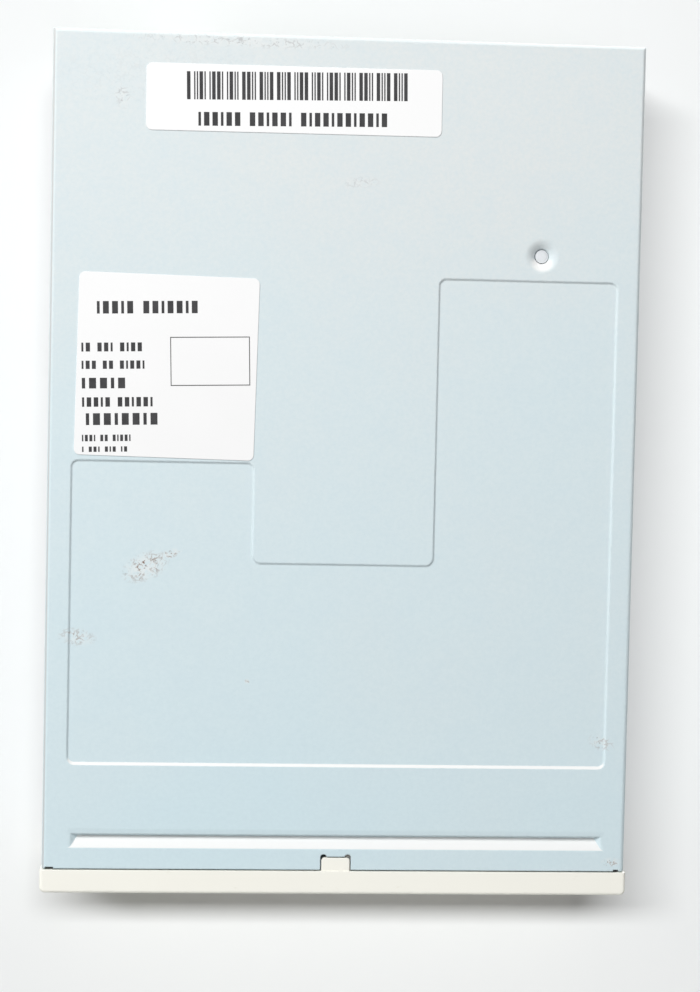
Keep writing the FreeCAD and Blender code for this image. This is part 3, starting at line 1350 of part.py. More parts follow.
def cables():
    """Flat cables: the heads' loop, the spindle motor's link and the stepping motor's drop."""
    low, high = "carriage_low + cable_rise", "carriage_low + cable_rise + cable_width"
    past = (f"{low} - 1", f"{high} + 1")
    ring = cut(rod("z", "cable_place", "cable_turn", (low, high), "cable_bend", "bend"),
               [rod("z", "cable_place", "cable_turn", past, "cable_bend - cable_sheet"),
                block(about("cable_place", "cable_bend + 2"), ("cable_turn - cable_bend - 1", "cable_turn"),
                      past)],
               "bend_cut")
    near_x, far_x = "cable_place - cable_bend", "cable_place + cable_bend"
    near = block((near_x, f"{near_x} + cable_sheet"), ("carriage_end + 0.3", "cable_turn"), (low, high))
    far = block((f"{far_x} - cable_sheet", far_x), ("cable_turn - 2", "cable_turn"),
                ("board_top + cable_socket_height + 0.2", high))
    node(join([ring, near, far]), "head_cable")
    link = block(("motor_cable_near", "motor_cable_near + motor_cable_width"),
                 ("spindle_y + plate_half - 6", "board_front - 0.3"),
                 ("plate_low - cable_sheet", "plate_low"), "link")
    node(link, "motor_cable")
    back = "(stepper_back + 1)"
    drop = join([block(about("screw_place", "stepper_cable_half"), (back, f"{back} + cable_sheet"),
                       ("board_top", "drive_level + 4")),
                 block(about("screw_place", "stepper_cable_half"), (f"{back} - 0.2", f"{back} + 0.1"),
                       ("drive_level + 3.4", "drive_level + 4"))])
    return node(drop, "stepper_cable")


# Small pieces on the floor: three switches with sprung plungers, four rest posts and a light gate
def floor_pieces():
    rise = "(plunger_radius + plunger_clear)"
    places = [("density", "switch_x"), ("write_protect", "-switch_x"), ("disk_in", "switch_pitch - switch_x")]
    cases = []
    for label, x in places:
        case = block(about(x, "switch_half"), about("switch_y", "switch_half"), ("floor_top", "switch_top"),
                     "case")
        bore = rod("z", x, "switch_y", ("floor_top + switch_base", "switch_top + 1"), rise)
        cases.append(cut(case, [bore], "case_cut"))
        plunger = rod("z", x, "switch_y",
                      ("floor_top + 2 * switch_base + plunger_travel", "loaded + plunger_travel"),
                      "plunger_radius", "plunger")
        node(plunger, f"{label}_plunger")
    node(group(cases), "sensor_switches")
    posts = []
    for x in ("datum_x", "-datum_x"):
        for y in ("front + datum_front", "disk_lead - datum_rear"):
            post = rod("z", x, y, ("floor_top", "loaded + datum_rise"), "datum_radius", "datum")
            if "front" in y:
                tip = cone("z", x, y, ("loaded", "loaded + datum_tip_height"), "datum_tip_low",
                           "datum_tip_high", "datum_tip")
                post = join([post, tip], "datum_post")
            posts.append(post)
    node(group(posts), "disk_rest_posts")
    x, y = "(rod_place + light_gate_x)", "(track_zero + light_gate_y)"
    base = ("floor_top", "floor_top + light_gate_base")
    gate = [block(about(x, "light_gate_half + 1.3"), about(y, "3"), base, "gate")]
    for side in (1, -1):
        gate.append(block(about(f"{x} + {side} * light_gate_half", "1"), about(y, "2.5"),
                          (f"{base[1]} - 0.1", "drive_level + 1.7")))
    node(join(gate), "track_zero_sensor")
    screws = []
    for at, (x, y) in enumerate(floor_screws()):
        seat = "board_level" if at < 4 else "plate_low"
        slot_top = f"{seat} - screw_head_thick + screw_slot"
        head = cut(rod("z", x, y, (f"{seat} - screw_head_thick", seat), "board_screw_head", "head"),
                   [block(about(x, "screw_slot / 2"), about(y, "board_screw_head + 0.5"),
                          (f"{seat} - 2", slot_top))],
                   "head_cut")
        shank = rod("z", x, y, (f"{seat} - 0.1", "floor_top"), "screw_hole - 0.25")
        screws.append(join([head, shank], "fixing"))
    return node(group(screws), "underside_screws")


# Paper labels on the lid
def labels():
    for name, turn in (("top_label", "top_label_turn"), ("side_label", "side_label_turn")):
        sheet = prism("XY_Plane", rectangle(about("0", f"{name}_width / 2"), about("0", f"{name}_depth / 2")),
                      "cover_top", "cover_top + label_thick", name)
        # Only the four corners of so thin a sheet stand upright, so the test is on their width alone
        dress(sheet, "Fillet", "label_corner", lambda box: box.XLength < 0.01 and box.YLength < 0.01,
              name + "_corner")
        sheet.Placement.Rotation = Rotation(Vector(0, 0, 1), 1)
        sheet.setExpression("Placement.Rotation.Angle", bound(turn))
        put(sheet, f"{name}_x", f"rear - {name}_from_rear", "0")
        node(sheet, name)


def finish():
    """Check every object, then write each sub-part to its own file."""
    doc.recompute()
    for thing in doc.Objects:
        if {"Invalid", "Error"} & set(thing.State):
            raise RuntimeError(f"{thing.Name} ({thing.Label}) failed: {thing.State}")
    os.makedirs("parts", exist_ok=True)
    for thing in nodes:
        shape = thing.Shape
        if shape.isNull() or not shape.isValid() or not shape.Solids:
            raise RuntimeError(f"{thing.Label} has no valid solid")
        shape.exportStep(f"parts/{thing.Label}.step")
        print(f"{thing.Label}: {len(shape.Solids)} solids, {shape.Volume:.1f} mm3")


for build in (chassis, top_cover, front_bezel, activity_lamp, dust_door, disk_holder, slider, eject_springs,
              shutter_lever, spindle_motor, head_drive, head_carriage, head_arm, main_board, cables,
              floor_pieces, labels):
    build()
finish()
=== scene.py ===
import math

import bmesh
import bpy
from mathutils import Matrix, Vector


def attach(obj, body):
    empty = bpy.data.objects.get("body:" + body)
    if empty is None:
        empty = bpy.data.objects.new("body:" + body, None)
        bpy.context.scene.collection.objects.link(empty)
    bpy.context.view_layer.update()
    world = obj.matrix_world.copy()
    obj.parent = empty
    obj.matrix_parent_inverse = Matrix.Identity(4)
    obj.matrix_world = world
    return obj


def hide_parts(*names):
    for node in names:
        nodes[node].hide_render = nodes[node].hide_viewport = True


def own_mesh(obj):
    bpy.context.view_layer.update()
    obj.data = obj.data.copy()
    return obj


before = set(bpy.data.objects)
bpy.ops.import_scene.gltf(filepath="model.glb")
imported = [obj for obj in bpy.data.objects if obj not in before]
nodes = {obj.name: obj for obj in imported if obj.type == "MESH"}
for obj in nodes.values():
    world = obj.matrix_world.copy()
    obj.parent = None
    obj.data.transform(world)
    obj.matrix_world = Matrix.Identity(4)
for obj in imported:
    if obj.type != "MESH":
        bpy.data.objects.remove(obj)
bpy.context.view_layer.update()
mm = 0.001


# ---- Viewpoint ---------------------------------------------------------------------------------
# The drive is seen almost straight from above, from a little over a third of a metre away,
# with a long lens that stands slightly to its left and is turned by a degree.
eye = bpy.data.objects.new("eye", bpy.data.cameras.new("eye"))
eye.data.sensor_width = 36.0
eye.data.lens = 72.58
eye.data.clip_start = 0.01
eye.location = (-0.022568, 0.012479, 0.36690)
eye.rotation_euler = [math.radians(turn) for turn in (-2.91588771, -3.90555448, 1.24221628)]
bpy.context.scene.collection.objects.link(eye)
bpy.context.scene.camera = eye


# ---- Table and lamps ---------------------------------------------------------------------------
# A plain white table top in an even pale room. A long ceiling lamp draws the short shadow at
# the front and right. A broad lamp at the rear left brings out the pressed edges, and neither
# it nor the soft lamp in front leaves a glare on the paint.
def step(tree, kind, settings=None, **inputs):
    made = tree.nodes.new("ShaderNode" + kind)
    for key, setting in (settings or {}).items():
        setattr(made, key, setting)
    for key, given in inputs.items():
        numbered = key[0] == "n" and key[1:].isdigit()
        socket = made.inputs[int(key[1:]) if numbered else key.replace("_", " ")]
        if isinstance(given, bpy.types.NodeSocket):
            tree.links.new(given, socket)
        else:
            socket.default_value = given
    return made


def maths(tree, operation, first, second=0.0):
    return step(tree, "Math", {"operation": operation}, n0=first, n1=second).outputs[0]


def spread(tree, given, low, high, to_low, to_high):
    return step(tree, "MapRange", n0=given, n1=low, n2=high, n3=to_low, n4=to_high).outputs[0]


def seen_straight(tree):
    path = step(tree, "LightPath").outputs
    seen = maths(tree, "MAXIMUM", path["Is Camera Ray"], path["Is Glossy Ray"])
    return maths(tree, "MAXIMUM", seen, path["Is Transmission Ray"])


table_width, clear_near, clear_far = 6.0, 0.16, 0.45
bpy.ops.object.select_all(action="DESELECT")
bpy.ops.mesh.primitive_plane_add(size=table_width)
table = bpy.context.object
table.name = "table"
table_white = bpy.data.materials.new("table_white")
table_white.use_nodes = True
tree = table_white.node_tree
body = tree.nodes["Principled BSDF"]
body.inputs["Base Color"].default_value = (0.91, 0.91, 0.905, 1)
body.inputs["Roughness"].default_value = 0.9
body.inputs["Specular IOR Level"].default_value = 0.1
spot = step(tree, "TexCoord").outputs["Object"]
away = step(tree, "VectorMath", {"operation": "LENGTH"}, n0=spot).outputs["Value"]
far = maths(tree, "MULTIPLY", spread(tree, away, clear_near, clear_far, 0.0, 1.0), seen_straight(tree))
white = step(tree, "Emission", Color=(1, 1, 1, 1), Strength=1.0).outputs[0]
top = step(tree, "MixShader", n0=far, n1=body.outputs[0], n2=white).outputs[0]
under = step(tree, "NewGeometry").outputs["Backfacing"]
clear = step(tree, "BsdfTransparent").outputs[0]
whole = step(tree, "MixShader", n0=under, n1=top, n2=clear).outputs[0]
tree.links.new(whole, tree.nodes["Material Output"].inputs["Surface"])
table.data.materials.append(table_white)

room_light, room_seen = 0.17, 1.0
room = bpy.data.worlds.new("room")
room.use_nodes = True
bpy.context.scene.world = room
tree = room.node_tree
air = tree.nodes["Background"]
air.inputs["Color"].default_value = (1, 1, 1, 1)
tree.links.new(spread(tree, seen_straight(tree), 0, 1, room_light, room_seen), air.inputs["Strength"])


def lamp(name, place, width, depth, watts, aimed=True, glare=True):
    made = bpy.data.objects.new(name, bpy.data.lights.new(name, "AREA"))
    made.data.shape = "RECTANGLE"
    made.data.size, made.data.size_y, made.data.energy = width, depth, watts
    made.location = place
    made.visible_glossy = glare
    if aimed:
        made.rotation_euler = Vector(place).to_track_quat("Z", "Y").to_euler()
    bpy.context.scene.collection.objects.link(made)
    return made


def linked(source, role, state):
    """Says whether the table alone, or all but it, takes this lamp's light or casts its shadow."""
    held = bpy.data.collections.new(f"{source.name}_{role}")
    held.objects.link(table)
    held.collection_objects[0].light_linking.link_state = state
    setattr(source.light_linking, f"{role}_collection", held)


ceiling_lamp = lamp("ceiling_lamp", (-0.45, 0.68, 1.90), width=1.60, depth=0.30, watts=42.6, aimed=False)
ceiling_lamp.data.color = (0.975, 0.995, 1.0)
linked(ceiling_lamp, "receiver", "INCLUDE")
rear_lamp = lamp("rear_lamp", (-0.36, 0.56, 0.55), width=0.90, depth=0.30, watts=10.3, glare=False)
front_lamp = lamp("front_lamp", (0.05, -0.85, 0.50), width=0.60, depth=0.60, watts=2.8, glare=False)
low_lamp = lamp("low_lamp", (0.20, 0.25, -0.55), width=0.40, depth=0.40, watts=1.3)
for source in (rear_lamp, front_lamp, low_lamp):
    linked(source, "receiver", "EXCLUDE")
linked(low_lamp, "blocker", "EXCLUDE")
bpy.context.scene.view_settings.view_transform = "Standard"


# ---- Chassis -----------------------------------------------------------------------------------
# The frame is bent from one sheet of zinc-plated steel, with its holes and feet punched first.
# The plating is faintly spangled, dull in the open and brighter where edges have been rubbed.
def noise(tree, place, scale, detail=3.0, roughness=0.55):
    return step(tree, "TexNoise", Vector=place, Scale=scale, Detail=detail,
                Roughness=roughness).outputs[0]


def mixed(tree, share, first, second, how="MIX"):
    return step(tree, "Mix", {"data_type": "RGBA", "blend_type": how},
                n0=share, n6=first, n7=second).outputs[2]


def stretched(tree, place, scale):
    return step(tree, "Mapping", Vector=place, Scale=scale).outputs[0]


def rubbed_edge(tree, radius):
    """The normal rounded over edges, and a share that is 1 where it leaves the surface's own."""
    soft = step(tree, "Bevel", {"samples": 4}, Radius=radius).outputs[0]
    true = step(tree, "NewGeometry").outputs["Normal"]
    along = step(tree, "VectorMath", {"operation": "DOT_PRODUCT"}, n0=soft, n1=true).outputs["Value"]
    return soft, spread(tree, along, 0.98, 0.75, 0.0, 1.0)


def shade(colour, share):
    return tuple(min(1.0, part * share) for part in colour) + (1,)


def finish(name, colour, metal=0.0, rough=0.45, cloud=0.08, cloud_size=28, grain_size=0.6, relief=0.01,
           along=(1, 1, 1), edge=None, edge_share=0.6, edge_width=0.2, detail=None, shine=0.5):
    """Clouded colour, directional grain, rubbed edges; detail(tree, place) adds a pattern and its height."""
    made = bpy.data.materials.new(name)
    made.use_nodes = True
    tree = made.node_tree
    body = tree.nodes["Principled BSDF"]
    place = step(tree, "TexCoord").outputs["Object"]
    broad = noise(tree, place, 1000 / cloud_size, 4)
    fine = noise(tree, stretched(tree, place, along), 1000 / grain_size, 3, 0.6)
    tint = mixed(tree, spread(tree, broad, 0.32, 0.68, 0, 1),
                 shade(colour, 1 - cloud), shade(colour, 1 + cloud))
    tint = mixed(tree, spread(tree, fine, 0.35, 0.7, 0, 0.35), tint, shade(colour, 1 - 1.6 * cloud))
    height = maths(tree, "MULTIPLY", fine, relief)
    dull = spread(tree, maths(tree, "ADD", broad, fine), 0.7, 1.3, rough - 0.07, rough + 0.09)
    if detail:
        mask, colour_there, lift = detail(tree, place)
        tint = mixed(tree, mask, tint, colour_there + (1,))
        height = maths(tree, "ADD", height, maths(tree, "MULTIPLY", mask, lift))
    if edge:
        patchy = spread(tree, broad, 0.3, 0.6, 0.35 * edge_share, edge_share)
        soft, rubbed = rubbed_edge(tree, edge_width * mm)
        rim = maths(tree, "MULTIPLY", rubbed, patchy)
        tint = mixed(tree, rim, tint, edge + (1,))
        dull = maths(tree, "SUBTRACT", dull, maths(tree, "MULTIPLY", rim, 0.12))
    tree.links.new(tint, body.inputs["Base Color"])
    tree.links.new(dull, body.inputs["Roughness"])
    bump = step(tree, "Bump", Strength=0.7, Distance=mm, Height=height)
    if edge:
        tree.links.new(soft, bump.inputs["Normal"])
    tree.links.new(bump.outputs[0], body.inputs["Normal"])
    body.inputs["Metallic"].default_value = metal
    body.inputs["Specular IOR Level"].default_value = shine
    return made


def dress(made, *names):
    for name in names:
        for held in nodes[name].material_slots:
            held.material = made


def spangle(tree, place):
    cells = step(tree, "TexVoronoi", {"feature": "F1"}, Vector=place, Scale=330.0).outputs["Color"]
    bright = step(tree, "SeparateColor", n0=cells).outputs[0]
    return spread(tree, bright, 0.0, 1.0, 0.0, 0.28), (0.84, 0.85, 0.87), 0.0


zinc_plate = finish("zinc_plate", (0.60, 0.61, 0.63), metal=1.0, rough=0.38, cloud=0.07, cloud_size=40,
                    grain_size=0.5, relief=0.006, along=(1, 0.12, 1), edge=(0.86, 0.86, 0.86),
                    detail=spangle)
dress(zinc_plate, "chassis")


# ---- Spindle motor -----------------------------------------------------------------------------
# A flat motor on its own lacquered steel circuit plate: stacked stator with twelve wound teeth,
# a magnet ring inside a spun cup, and a turned hub on a bronze bearing.
spindle_x, spindle_y = 0.0, -21.5


def tracks(tree, place):
    net = step(tree, "TexVoronoi", {"feature": "F1", "distance": "MANHATTAN"}, Vector=place, Scale=85.0,
               Randomness=0.75).outputs["Distance"]
    lanes = maths(tree, "FRACT", maths(tree, "MULTIPLY", net, 7.0))
    lane = spread(tree, maths(tree, "ABSOLUTE", maths(tree, "SUBTRACT", lanes, 0.5)), 0.13, 0.19, 1.0, 0.0)
    broken = spread(tree, noise(tree, place, 70, 1), 0.47, 0.52, 0.0, 0.75)
    return maths(tree, "MULTIPLY", lane, broken), (0.10, 0.30, 0.13), 0.02


def rings(tree, place, centre, pitch, across=("X", "Y")):
    centred = step(tree, "Mapping", Vector=place, Location=[-part * mm for part in centre]).outputs[0]
    parts = step(tree, "SeparateXYZ", n0=centred).outputs
    squares = [maths(tree, "POWER", maths(tree, "ABSOLUTE", parts[axis]), 2.0) for axis in across]
    radius = maths(tree, "SQRT", maths(tree, "ADD", squares[0], squares[1]))
    turn = maths(tree, "FRACT", maths(tree, "DIVIDE", radius, pitch * mm))
    return maths(tree, "ABSOLUTE", maths(tree, "SUBTRACT", turn, 0.5))


# Painted shade: the grooves between the wire turns are coloured a darker copper, where shade falls, and sunk
# a little
def wire_turn_shade(tree, place):
    gap = spread(tree, rings(tree, place, (spindle_x, spindle_y, 0), 0.22), 0.32, 0.5, 0.0, 0.8)
    return gap, (0.22, 0.07, 0.03), -0.04


def turned_face(tree, place):
    cut = spread(tree, rings(tree, place, (spindle_x, spindle_y, 0), 0.35), 0.2, 0.5, 0.0, 0.3)
    return cut, (0.90, 0.90, 0.91), 0.004


dress(finish("motor_lacquer", (0.025, 0.11, 0.06), rough=0.28, cloud=0.14, cloud_size=14,
             grain_size=0.4, relief=0.004, detail=tracks, edge=(0.45, 0.46, 0.44), edge_share=0.5),
      "motor_plate")
sintered_bronze = finish("sintered_bronze", (0.66, 0.47, 0.22), metal=1.0, rough=0.36, cloud=0.10,
                         cloud_size=6, grain_size=0.25, relief=0.008, edge=(0.86, 0.68, 0.38),
                         edge_width=0.12)
dress(sintered_bronze, "spindle_bearing", "screw_bearing", "bearing_housing")
dress(finish("core_laminations", (0.40, 0.41, 0.43), metal=1.0, rough=0.42, cloud=0.10, cloud_size=8,
             grain_size=0.3, relief=0.02, along=(0.05, 0.05, 6), edge=(0.7, 0.7, 0.7)), "stator_core")
dress(finish("winding_copper", (0.66, 0.27, 0.10), metal=1.0, rough=0.30, cloud=0.10, cloud_size=6,
             grain_size=0.2, relief=0.01, detail=wire_turn_shade), "stator_coils")
spun_steel = finish("spun_steel", (0.66, 0.67, 0.69), metal=1.0, rough=0.28, cloud=0.05, cloud_size=12,
                    grain_size=0.3, relief=0.003, edge=(0.9, 0.9, 0.9), detail=turned_face)
dress(spun_steel, "rotor_cup")
dress(finish("magnet_ferrite", (0.055, 0.055, 0.06), rough=0.6, cloud=0.20, cloud_size=5,
             grain_size=0.15, relief=0.02, edge=(0.16, 0.16, 0.17), edge_share=0.8), "rotor_magnet")
dress(finish("hub_brass", (0.72, 0.58, 0.30), metal=1.0, rough=0.24, cloud=0.06, cloud_size=8,
             grain_size=0.3, relief=0.004, edge=(0.92, 0.80, 0.52), detail=turned_face), "spindle_hub")
ground_steel = finish("ground_steel", (0.74, 0.74, 0.76), metal=1.0, rough=0.17, cloud=0.04,
                      cloud_size=6, grain_size=0.12, relief=0.004, along=(1, 14, 1),
                      edge=(0.95, 0.95, 0.95), edge_width=0.08)
dress(ground_steel, "spindle_shaft", "drive_pin")
epoxy_black = finish("epoxy_black", (0.028, 0.028, 0.031), rough=0.52, cloud=0.14, cloud_size=7,
                     grain_size=0.10, relief=0.012, edge=(0.09, 0.09, 0.095), edge_width=0.12)
dress(epoxy_black, "index_sensor")


# ---- Head drive --------------------------------------------------------------------------------
# A small stepper in a drawn steel can turns the lead screw in a folded bracket, and the
# carriage slides on a ground rod held by two die-cast clamps and cross-headed screws.
dress(zinc_plate, "stepper_bracket")
dress(finish("drawn_can", (0.68, 0.68, 0.69), metal=1.0, rough=0.24, cloud=0.05, cloud_size=10,
             grain_size=0.3, relief=0.004, along=(0.2, 10, 0.2), edge=(0.9, 0.9, 0.9)), "stepper_motor")
dress(ground_steel, "lead_screw", "guide_rod")
dress(finish("tumbled_casting", (0.55, 0.55, 0.56), metal=1.0, rough=0.50, cloud=0.10, cloud_size=5,
             grain_size=0.35, relief=0.03, edge=(0.82, 0.82, 0.82), edge_width=0.25), "rod_clamps")
screw_plate = finish("screw_plate", (0.70, 0.69, 0.66), metal=1.0, rough=0.26, cloud=0.08, cloud_size=3,
                     grain_size=0.15, relief=0.006, edge=(0.93, 0.92, 0.90), edge_width=0.10)
dress(screw_plate, "mechanism_screws")


# ---- Heads and carriage ------------------------------------------------------------------------
# The carriage is moulded in glass-filled black plastic, with a lapped ceramic head face below
# and another on the sprung arm above, which lifts on its cross pin when the disk goes out.
def glass_fibres(tree, place):
    strands = noise(tree, stretched(tree, place, (1, 7, 1)), 900, 2)
    return spread(tree, strands, 0.62, 0.72, 0.0, 0.5), (0.15, 0.15, 0.155), 0.004


def gap_line(tree, place):
    run = step(tree, "SeparateXYZ", n0=place).outputs["X"]
    slit = spread(tree, maths(tree, "ABSOLUTE", run), 0.00010, 0.00016, 1.0, 0.0)
    return slit, (0.75, 0.62, 0.42), 0.0


dress(finish("glass_filled_black", (0.05, 0.05, 0.054), rough=0.5, cloud=0.12, cloud_size=12,
             grain_size=0.25, relief=0.012, edge=(0.16, 0.16, 0.165), detail=glass_fibres),
      "head_carriage")
dress(finish("lapped_ceramic", (0.25, 0.21, 0.18), rough=0.14, cloud=0.05, cloud_size=2,
             grain_size=0.08, relief=0.001, edge=(0.45, 0.42, 0.38), edge_width=0.15, detail=gap_line),
      "lower_head", "upper_head")
dress(ground_steel, "follower_pin", "arm_pin")
spring_wire = finish("spring_wire", (0.46, 0.46, 0.48), metal=1.0, rough=0.26, cloud=0.08, cloud_size=4,
                     grain_size=0.12, relief=0.004)
dress(spring_wire, "arm_spring")
dress(zinc_plate, "head_arm")


# ---- Board, connectors and cables --------------------------------------------------------------
# A green lacquered glass board under the rear half carries moulded chips, the black
# thirty-four-way header and the white power plug socket, with amber flat cables to the motors.
def conductors(tree, place):
    run = step(tree, "SeparateXYZ", n0=place).outputs["X"]
    lane = maths(tree, "ABSOLUTE", maths(tree, "SUBTRACT", maths(tree, "FRACT", maths(
        tree, "MULTIPLY", run, 1250.0)), 0.5))
    return spread(tree, lane, 0.22, 0.28, 0.85, 0.0), (0.30, 0.11, 0.02), 0.03


dress(finish("board_lacquer", (0.025, 0.15, 0.065), rough=0.26, cloud=0.12, cloud_size=18,
             grain_size=0.35, relief=0.004, detail=tracks, edge=(0.42, 0.45, 0.22), edge_share=0.8,
             edge_width=0.15), "main_board")
black_moulding = finish("black_moulding", (0.035, 0.035, 0.038), rough=0.46, cloud=0.10, cloud_size=15,
                        grain_size=0.20, relief=0.010, edge=(0.11, 0.11, 0.115), edge_width=0.25)
dress(black_moulding, "signal_connector", "sensor_switches", "track_zero_sensor", "lamp_holder")
tinned_pin = finish("tinned_pin", (0.76, 0.75, 0.72), metal=1.0, rough=0.22, cloud=0.06, cloud_size=2,
                    grain_size=0.12, relief=0.004, along=(1, 8, 1), edge=(0.95, 0.94, 0.92),
                    edge_width=0.08)
dress(tinned_pin, "signal_pins", "power_pins")
white_moulding = finish("white_moulding", (0.80, 0.79, 0.74), rough=0.40, cloud=0.03, cloud_size=10,
                        grain_size=0.25, relief=0.006, edge=(0.90, 0.89, 0.86), edge_width=0.2)
dress(white_moulding, "power_connector")
dress(finish("amber_film", (0.52, 0.24, 0.05), rough=0.22, cloud=0.08, cloud_size=9, grain_size=0.5,
             relief=0.003, detail=conductors), "head_cable", "motor_cable", "stepper_cable")


def settle(name):
    made = bpy.context.object
    made.name = made.data.name = name
    bpy.ops.object.transform_apply(location=True, rotation=True, scale=True)
    return made


def block(name, x, y, z):
    bpy.ops.object.select_all(action="DESELECT")
    bpy.ops.mesh.primitive_cube_add(size=1.0, location=[sum(side) / 2 * mm for side in (x, y, z)],
                                    scale=[(side[1] - side[0]) * mm for side in (x, y, z)])
    return settle(name)


def round_bar(name, x, y, z, radius, sides=32, tip=None):
    bpy.ops.object.select_all(action="DESELECT")
    bpy.ops.mesh.primitive_cone_add(vertices=sides, radius1=radius * mm, radius2=(tip or radius) * mm,
                                    depth=(z[1] - z[0]) * mm, location=(x * mm, y * mm, sum(z) / 2 * mm))
    return settle(name)


def bench(*pieces):
    bpy.ops.object.select_all(action="DESELECT")
    for piece in pieces:
        piece.select_set(True)
    bpy.context.view_layer.objects.active = pieces[0]
    bpy.ops.object.mode_set(mode="EDIT")
    bpy.ops.mesh.select_all(action="DESELECT")


def off_bench():
    bpy.ops.object.mode_set(mode="OBJECT")
    return bpy.context.object


def pick(kind, wanted):
    """Selects what wanted(place, way) says, in mm, of the open piece's corners, edges or faces."""
    bpy.ops.mesh.select_mode(type="EDGE" if kind == "CREASE" else kind)
    bpy.ops.mesh.select_all(action="DESELECT")
    mesh = bpy.context.object.data
    shape = bmesh.from_edit_mesh(mesh)
    if kind == "FACE":
        for face in shape.faces:
            face.select_set(bool(wanted(face.calc_center_median() / mm, face.normal)))
    elif kind == "VERT":
        for corner in shape.verts:
            corner.select_set(bool(wanted(corner.co / mm, corner.normal)))
    else:
        for edge in shape.edges:
            start, end = (corner.co / mm for corner in edge.verts)
            sharp = kind == "EDGE" or math.degrees(edge.calc_face_angle(0.0)) > 10
            edge.select_set(bool(sharp and wanted((start + end) / 2, end - start)))
    bmesh.update_edit_mesh(mesh)


def near(first, second):
    return abs(first - second) < 0.01


def moved(x=0.0, y=0.0, z=0.0):
    return {"value": (x * mm, y * mm, z * mm)}


def apply_to(piece, kind, **settings):
    bpy.context.view_layer.objects.active = piece
    made = piece.modifiers.new(kind.lower(), kind)
    for key, setting in settings.items():
        setattr(made, key, setting)
    bpy.ops.object.modifier_apply(modifier=made.name)
    return piece


def smooth(piece, degrees=35):
    bpy.ops.object.select_all(action="DESELECT")
    bpy.context.view_layer.objects.active = piece
    piece.select_set(True)
    bpy.ops.object.shade_smooth_by_angle(angle=math.radians(degrees))
    return apply_to(piece, "WEIGHTED_NORMAL", keep_sharp=True, weight=100)


def joined(name, pieces):
    bpy.ops.object.select_all(action="DESELECT")
    for piece in pieces:
        piece.select_set(True)
    bpy.context.view_layer.objects.active = pieces[0]
    bpy.ops.object.join()
    pieces[0].name = pieces[0].data.name = name
    return pieces[0]


def fitted(piece, made, rides, slot, *stands_for):
    piece.data.materials.clear()
    piece.data.materials.append(made)
    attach(piece, rides)
    if stands_for:
        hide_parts(*stands_for)


def turned_copy(piece, centre, turn):
    bpy.ops.object.select_all(action="DESELECT")
    piece.select_set(True)
    bpy.context.view_layer.objects.active = piece
    bpy.ops.object.duplicate()
    bpy.ops.object.mode_set(mode="EDIT")
    bpy.ops.mesh.select_all(action="SELECT")
    bpy.ops.transform.rotate(value=math.radians(turn), orient_axis="Z",
                             center_override=(centre[0] * mm, centre[1] * mm, 0))
    return off_bench()


# Chips hang under the board: moulded bodies with drafted sides, a first-pin dot and bent tin legs.
# Each row gives the middle, across and back from the board's front edge, half the width and depth
# with the legs, the height, the legs' pitch, and where the legs stand: 4 on all sides, 2 at the
# front and rear, -2 at the left and right.
board_low, board_front = 2.6, 12.0
leg_room, bare_room, leg_half, leg_thin = 1.0, 0.15, 0.15, 0.07
air_gap, draft, dot_inset, dot_radius, dot_deep = 0.12, 0.15, 0.9, 0.3, 0.06
chips = ((-8, 26, 7, 7, 1.4, 0.8, 4), (17, 18, 5, 3.8, 1.5, 1.27, 2),
         (-30, 40, 3.9, 5, 1.5, 1.27, -2), (12, 40, 5.5, 2.2, 1.3, 1.27, 2),
         (-33, 14, 2.5, 1.8, 1.0, 0.95, 2), (33, 34, 2.5, 1.8, 1.0, 0.95, 2))
bodies, legs = [], []
for x, y, across, deep, tall, pitch, sides in chips:
    y += board_front
    inset_x = leg_room if sides != 2 else bare_room
    inset_y = leg_room if sides != -2 else bare_room
    body = block("body", (x - across + inset_x, x + across - inset_x),
                 (y - deep + inset_y, y + deep - inset_y), (board_low - tall, board_low - air_gap))
    bench(body)
    bpy.ops.mesh.select_all(action="SELECT")
    bpy.ops.mesh.bisect(plane_co=(0, 0, (board_low - tall / 2) * mm), plane_no=(0, 0, 1))
    for down in (True, False):
        pick("FACE", lambda mid, out: out.z < -0.9 if down else out.z > 0.9)
        bpy.ops.mesh.inset(thickness=0.0)
        bpy.ops.transform.resize(value=((across - inset_x - draft) / (across - inset_x),
                                        (deep - inset_y - draft) / (deep - inset_y), 1))
    pick("CREASE", lambda mid, run: abs(run.z) > 0.2 or mid.z < board_low - tall + 0.01)
    bpy.ops.mesh.bevel(offset=0.08 * mm, segments=1)
    bodies.append(off_bench())
    dot = round_bar("dot", x - across + inset_x + dot_inset, y - deep + inset_y + dot_inset,
                    (board_low - tall - 0.2, board_low - tall + dot_deep), dot_radius, 16)
    apply_to(body, "BOOLEAN", object=dot, operation="DIFFERENCE", solver="EXACT")
    bpy.data.objects.remove(dot)
    for side in ((0, 90, 180, 270) if sides == 4 else (0, 180) if sides == 2 else (90, 270)):
        half, reach = (across, deep) if side % 180 == 0 else (deep, across)
        count = int((2 * half - 2.2) / pitch) + 1
        first = x - (count - 1) / 2 * pitch
        leg = block("leg", (first - leg_half, first + leg_half), (y - reach + 0.55, y - reach + 1.05),
                    (board_low - tall / 2 - leg_thin, board_low - tall / 2 + leg_thin))
        bench(leg)
        pick("FACE", lambda mid, out: out.y < -0.9)
        bpy.ops.mesh.extrude_region_move(TRANSFORM_OT_translate=moved(0, -0.18, 0))
        bpy.ops.mesh.extrude_region_move(TRANSFORM_OT_translate=moved(0, -0.12, tall / 2 - 0.1))
        bpy.ops.mesh.extrude_region_move(TRANSFORM_OT_translate=moved(0, -0.22, 0.02))
        off_bench()
        apply_to(leg, "ARRAY", count=count, use_relative_offset=False, use_constant_offset=True,
                 constant_offset_displace=(pitch * mm, 0, 0))
        if side:
            first_leg, leg = leg, turned_copy(leg, (x, y), side)
            bpy.data.objects.remove(first_leg)
        legs.append(leg)

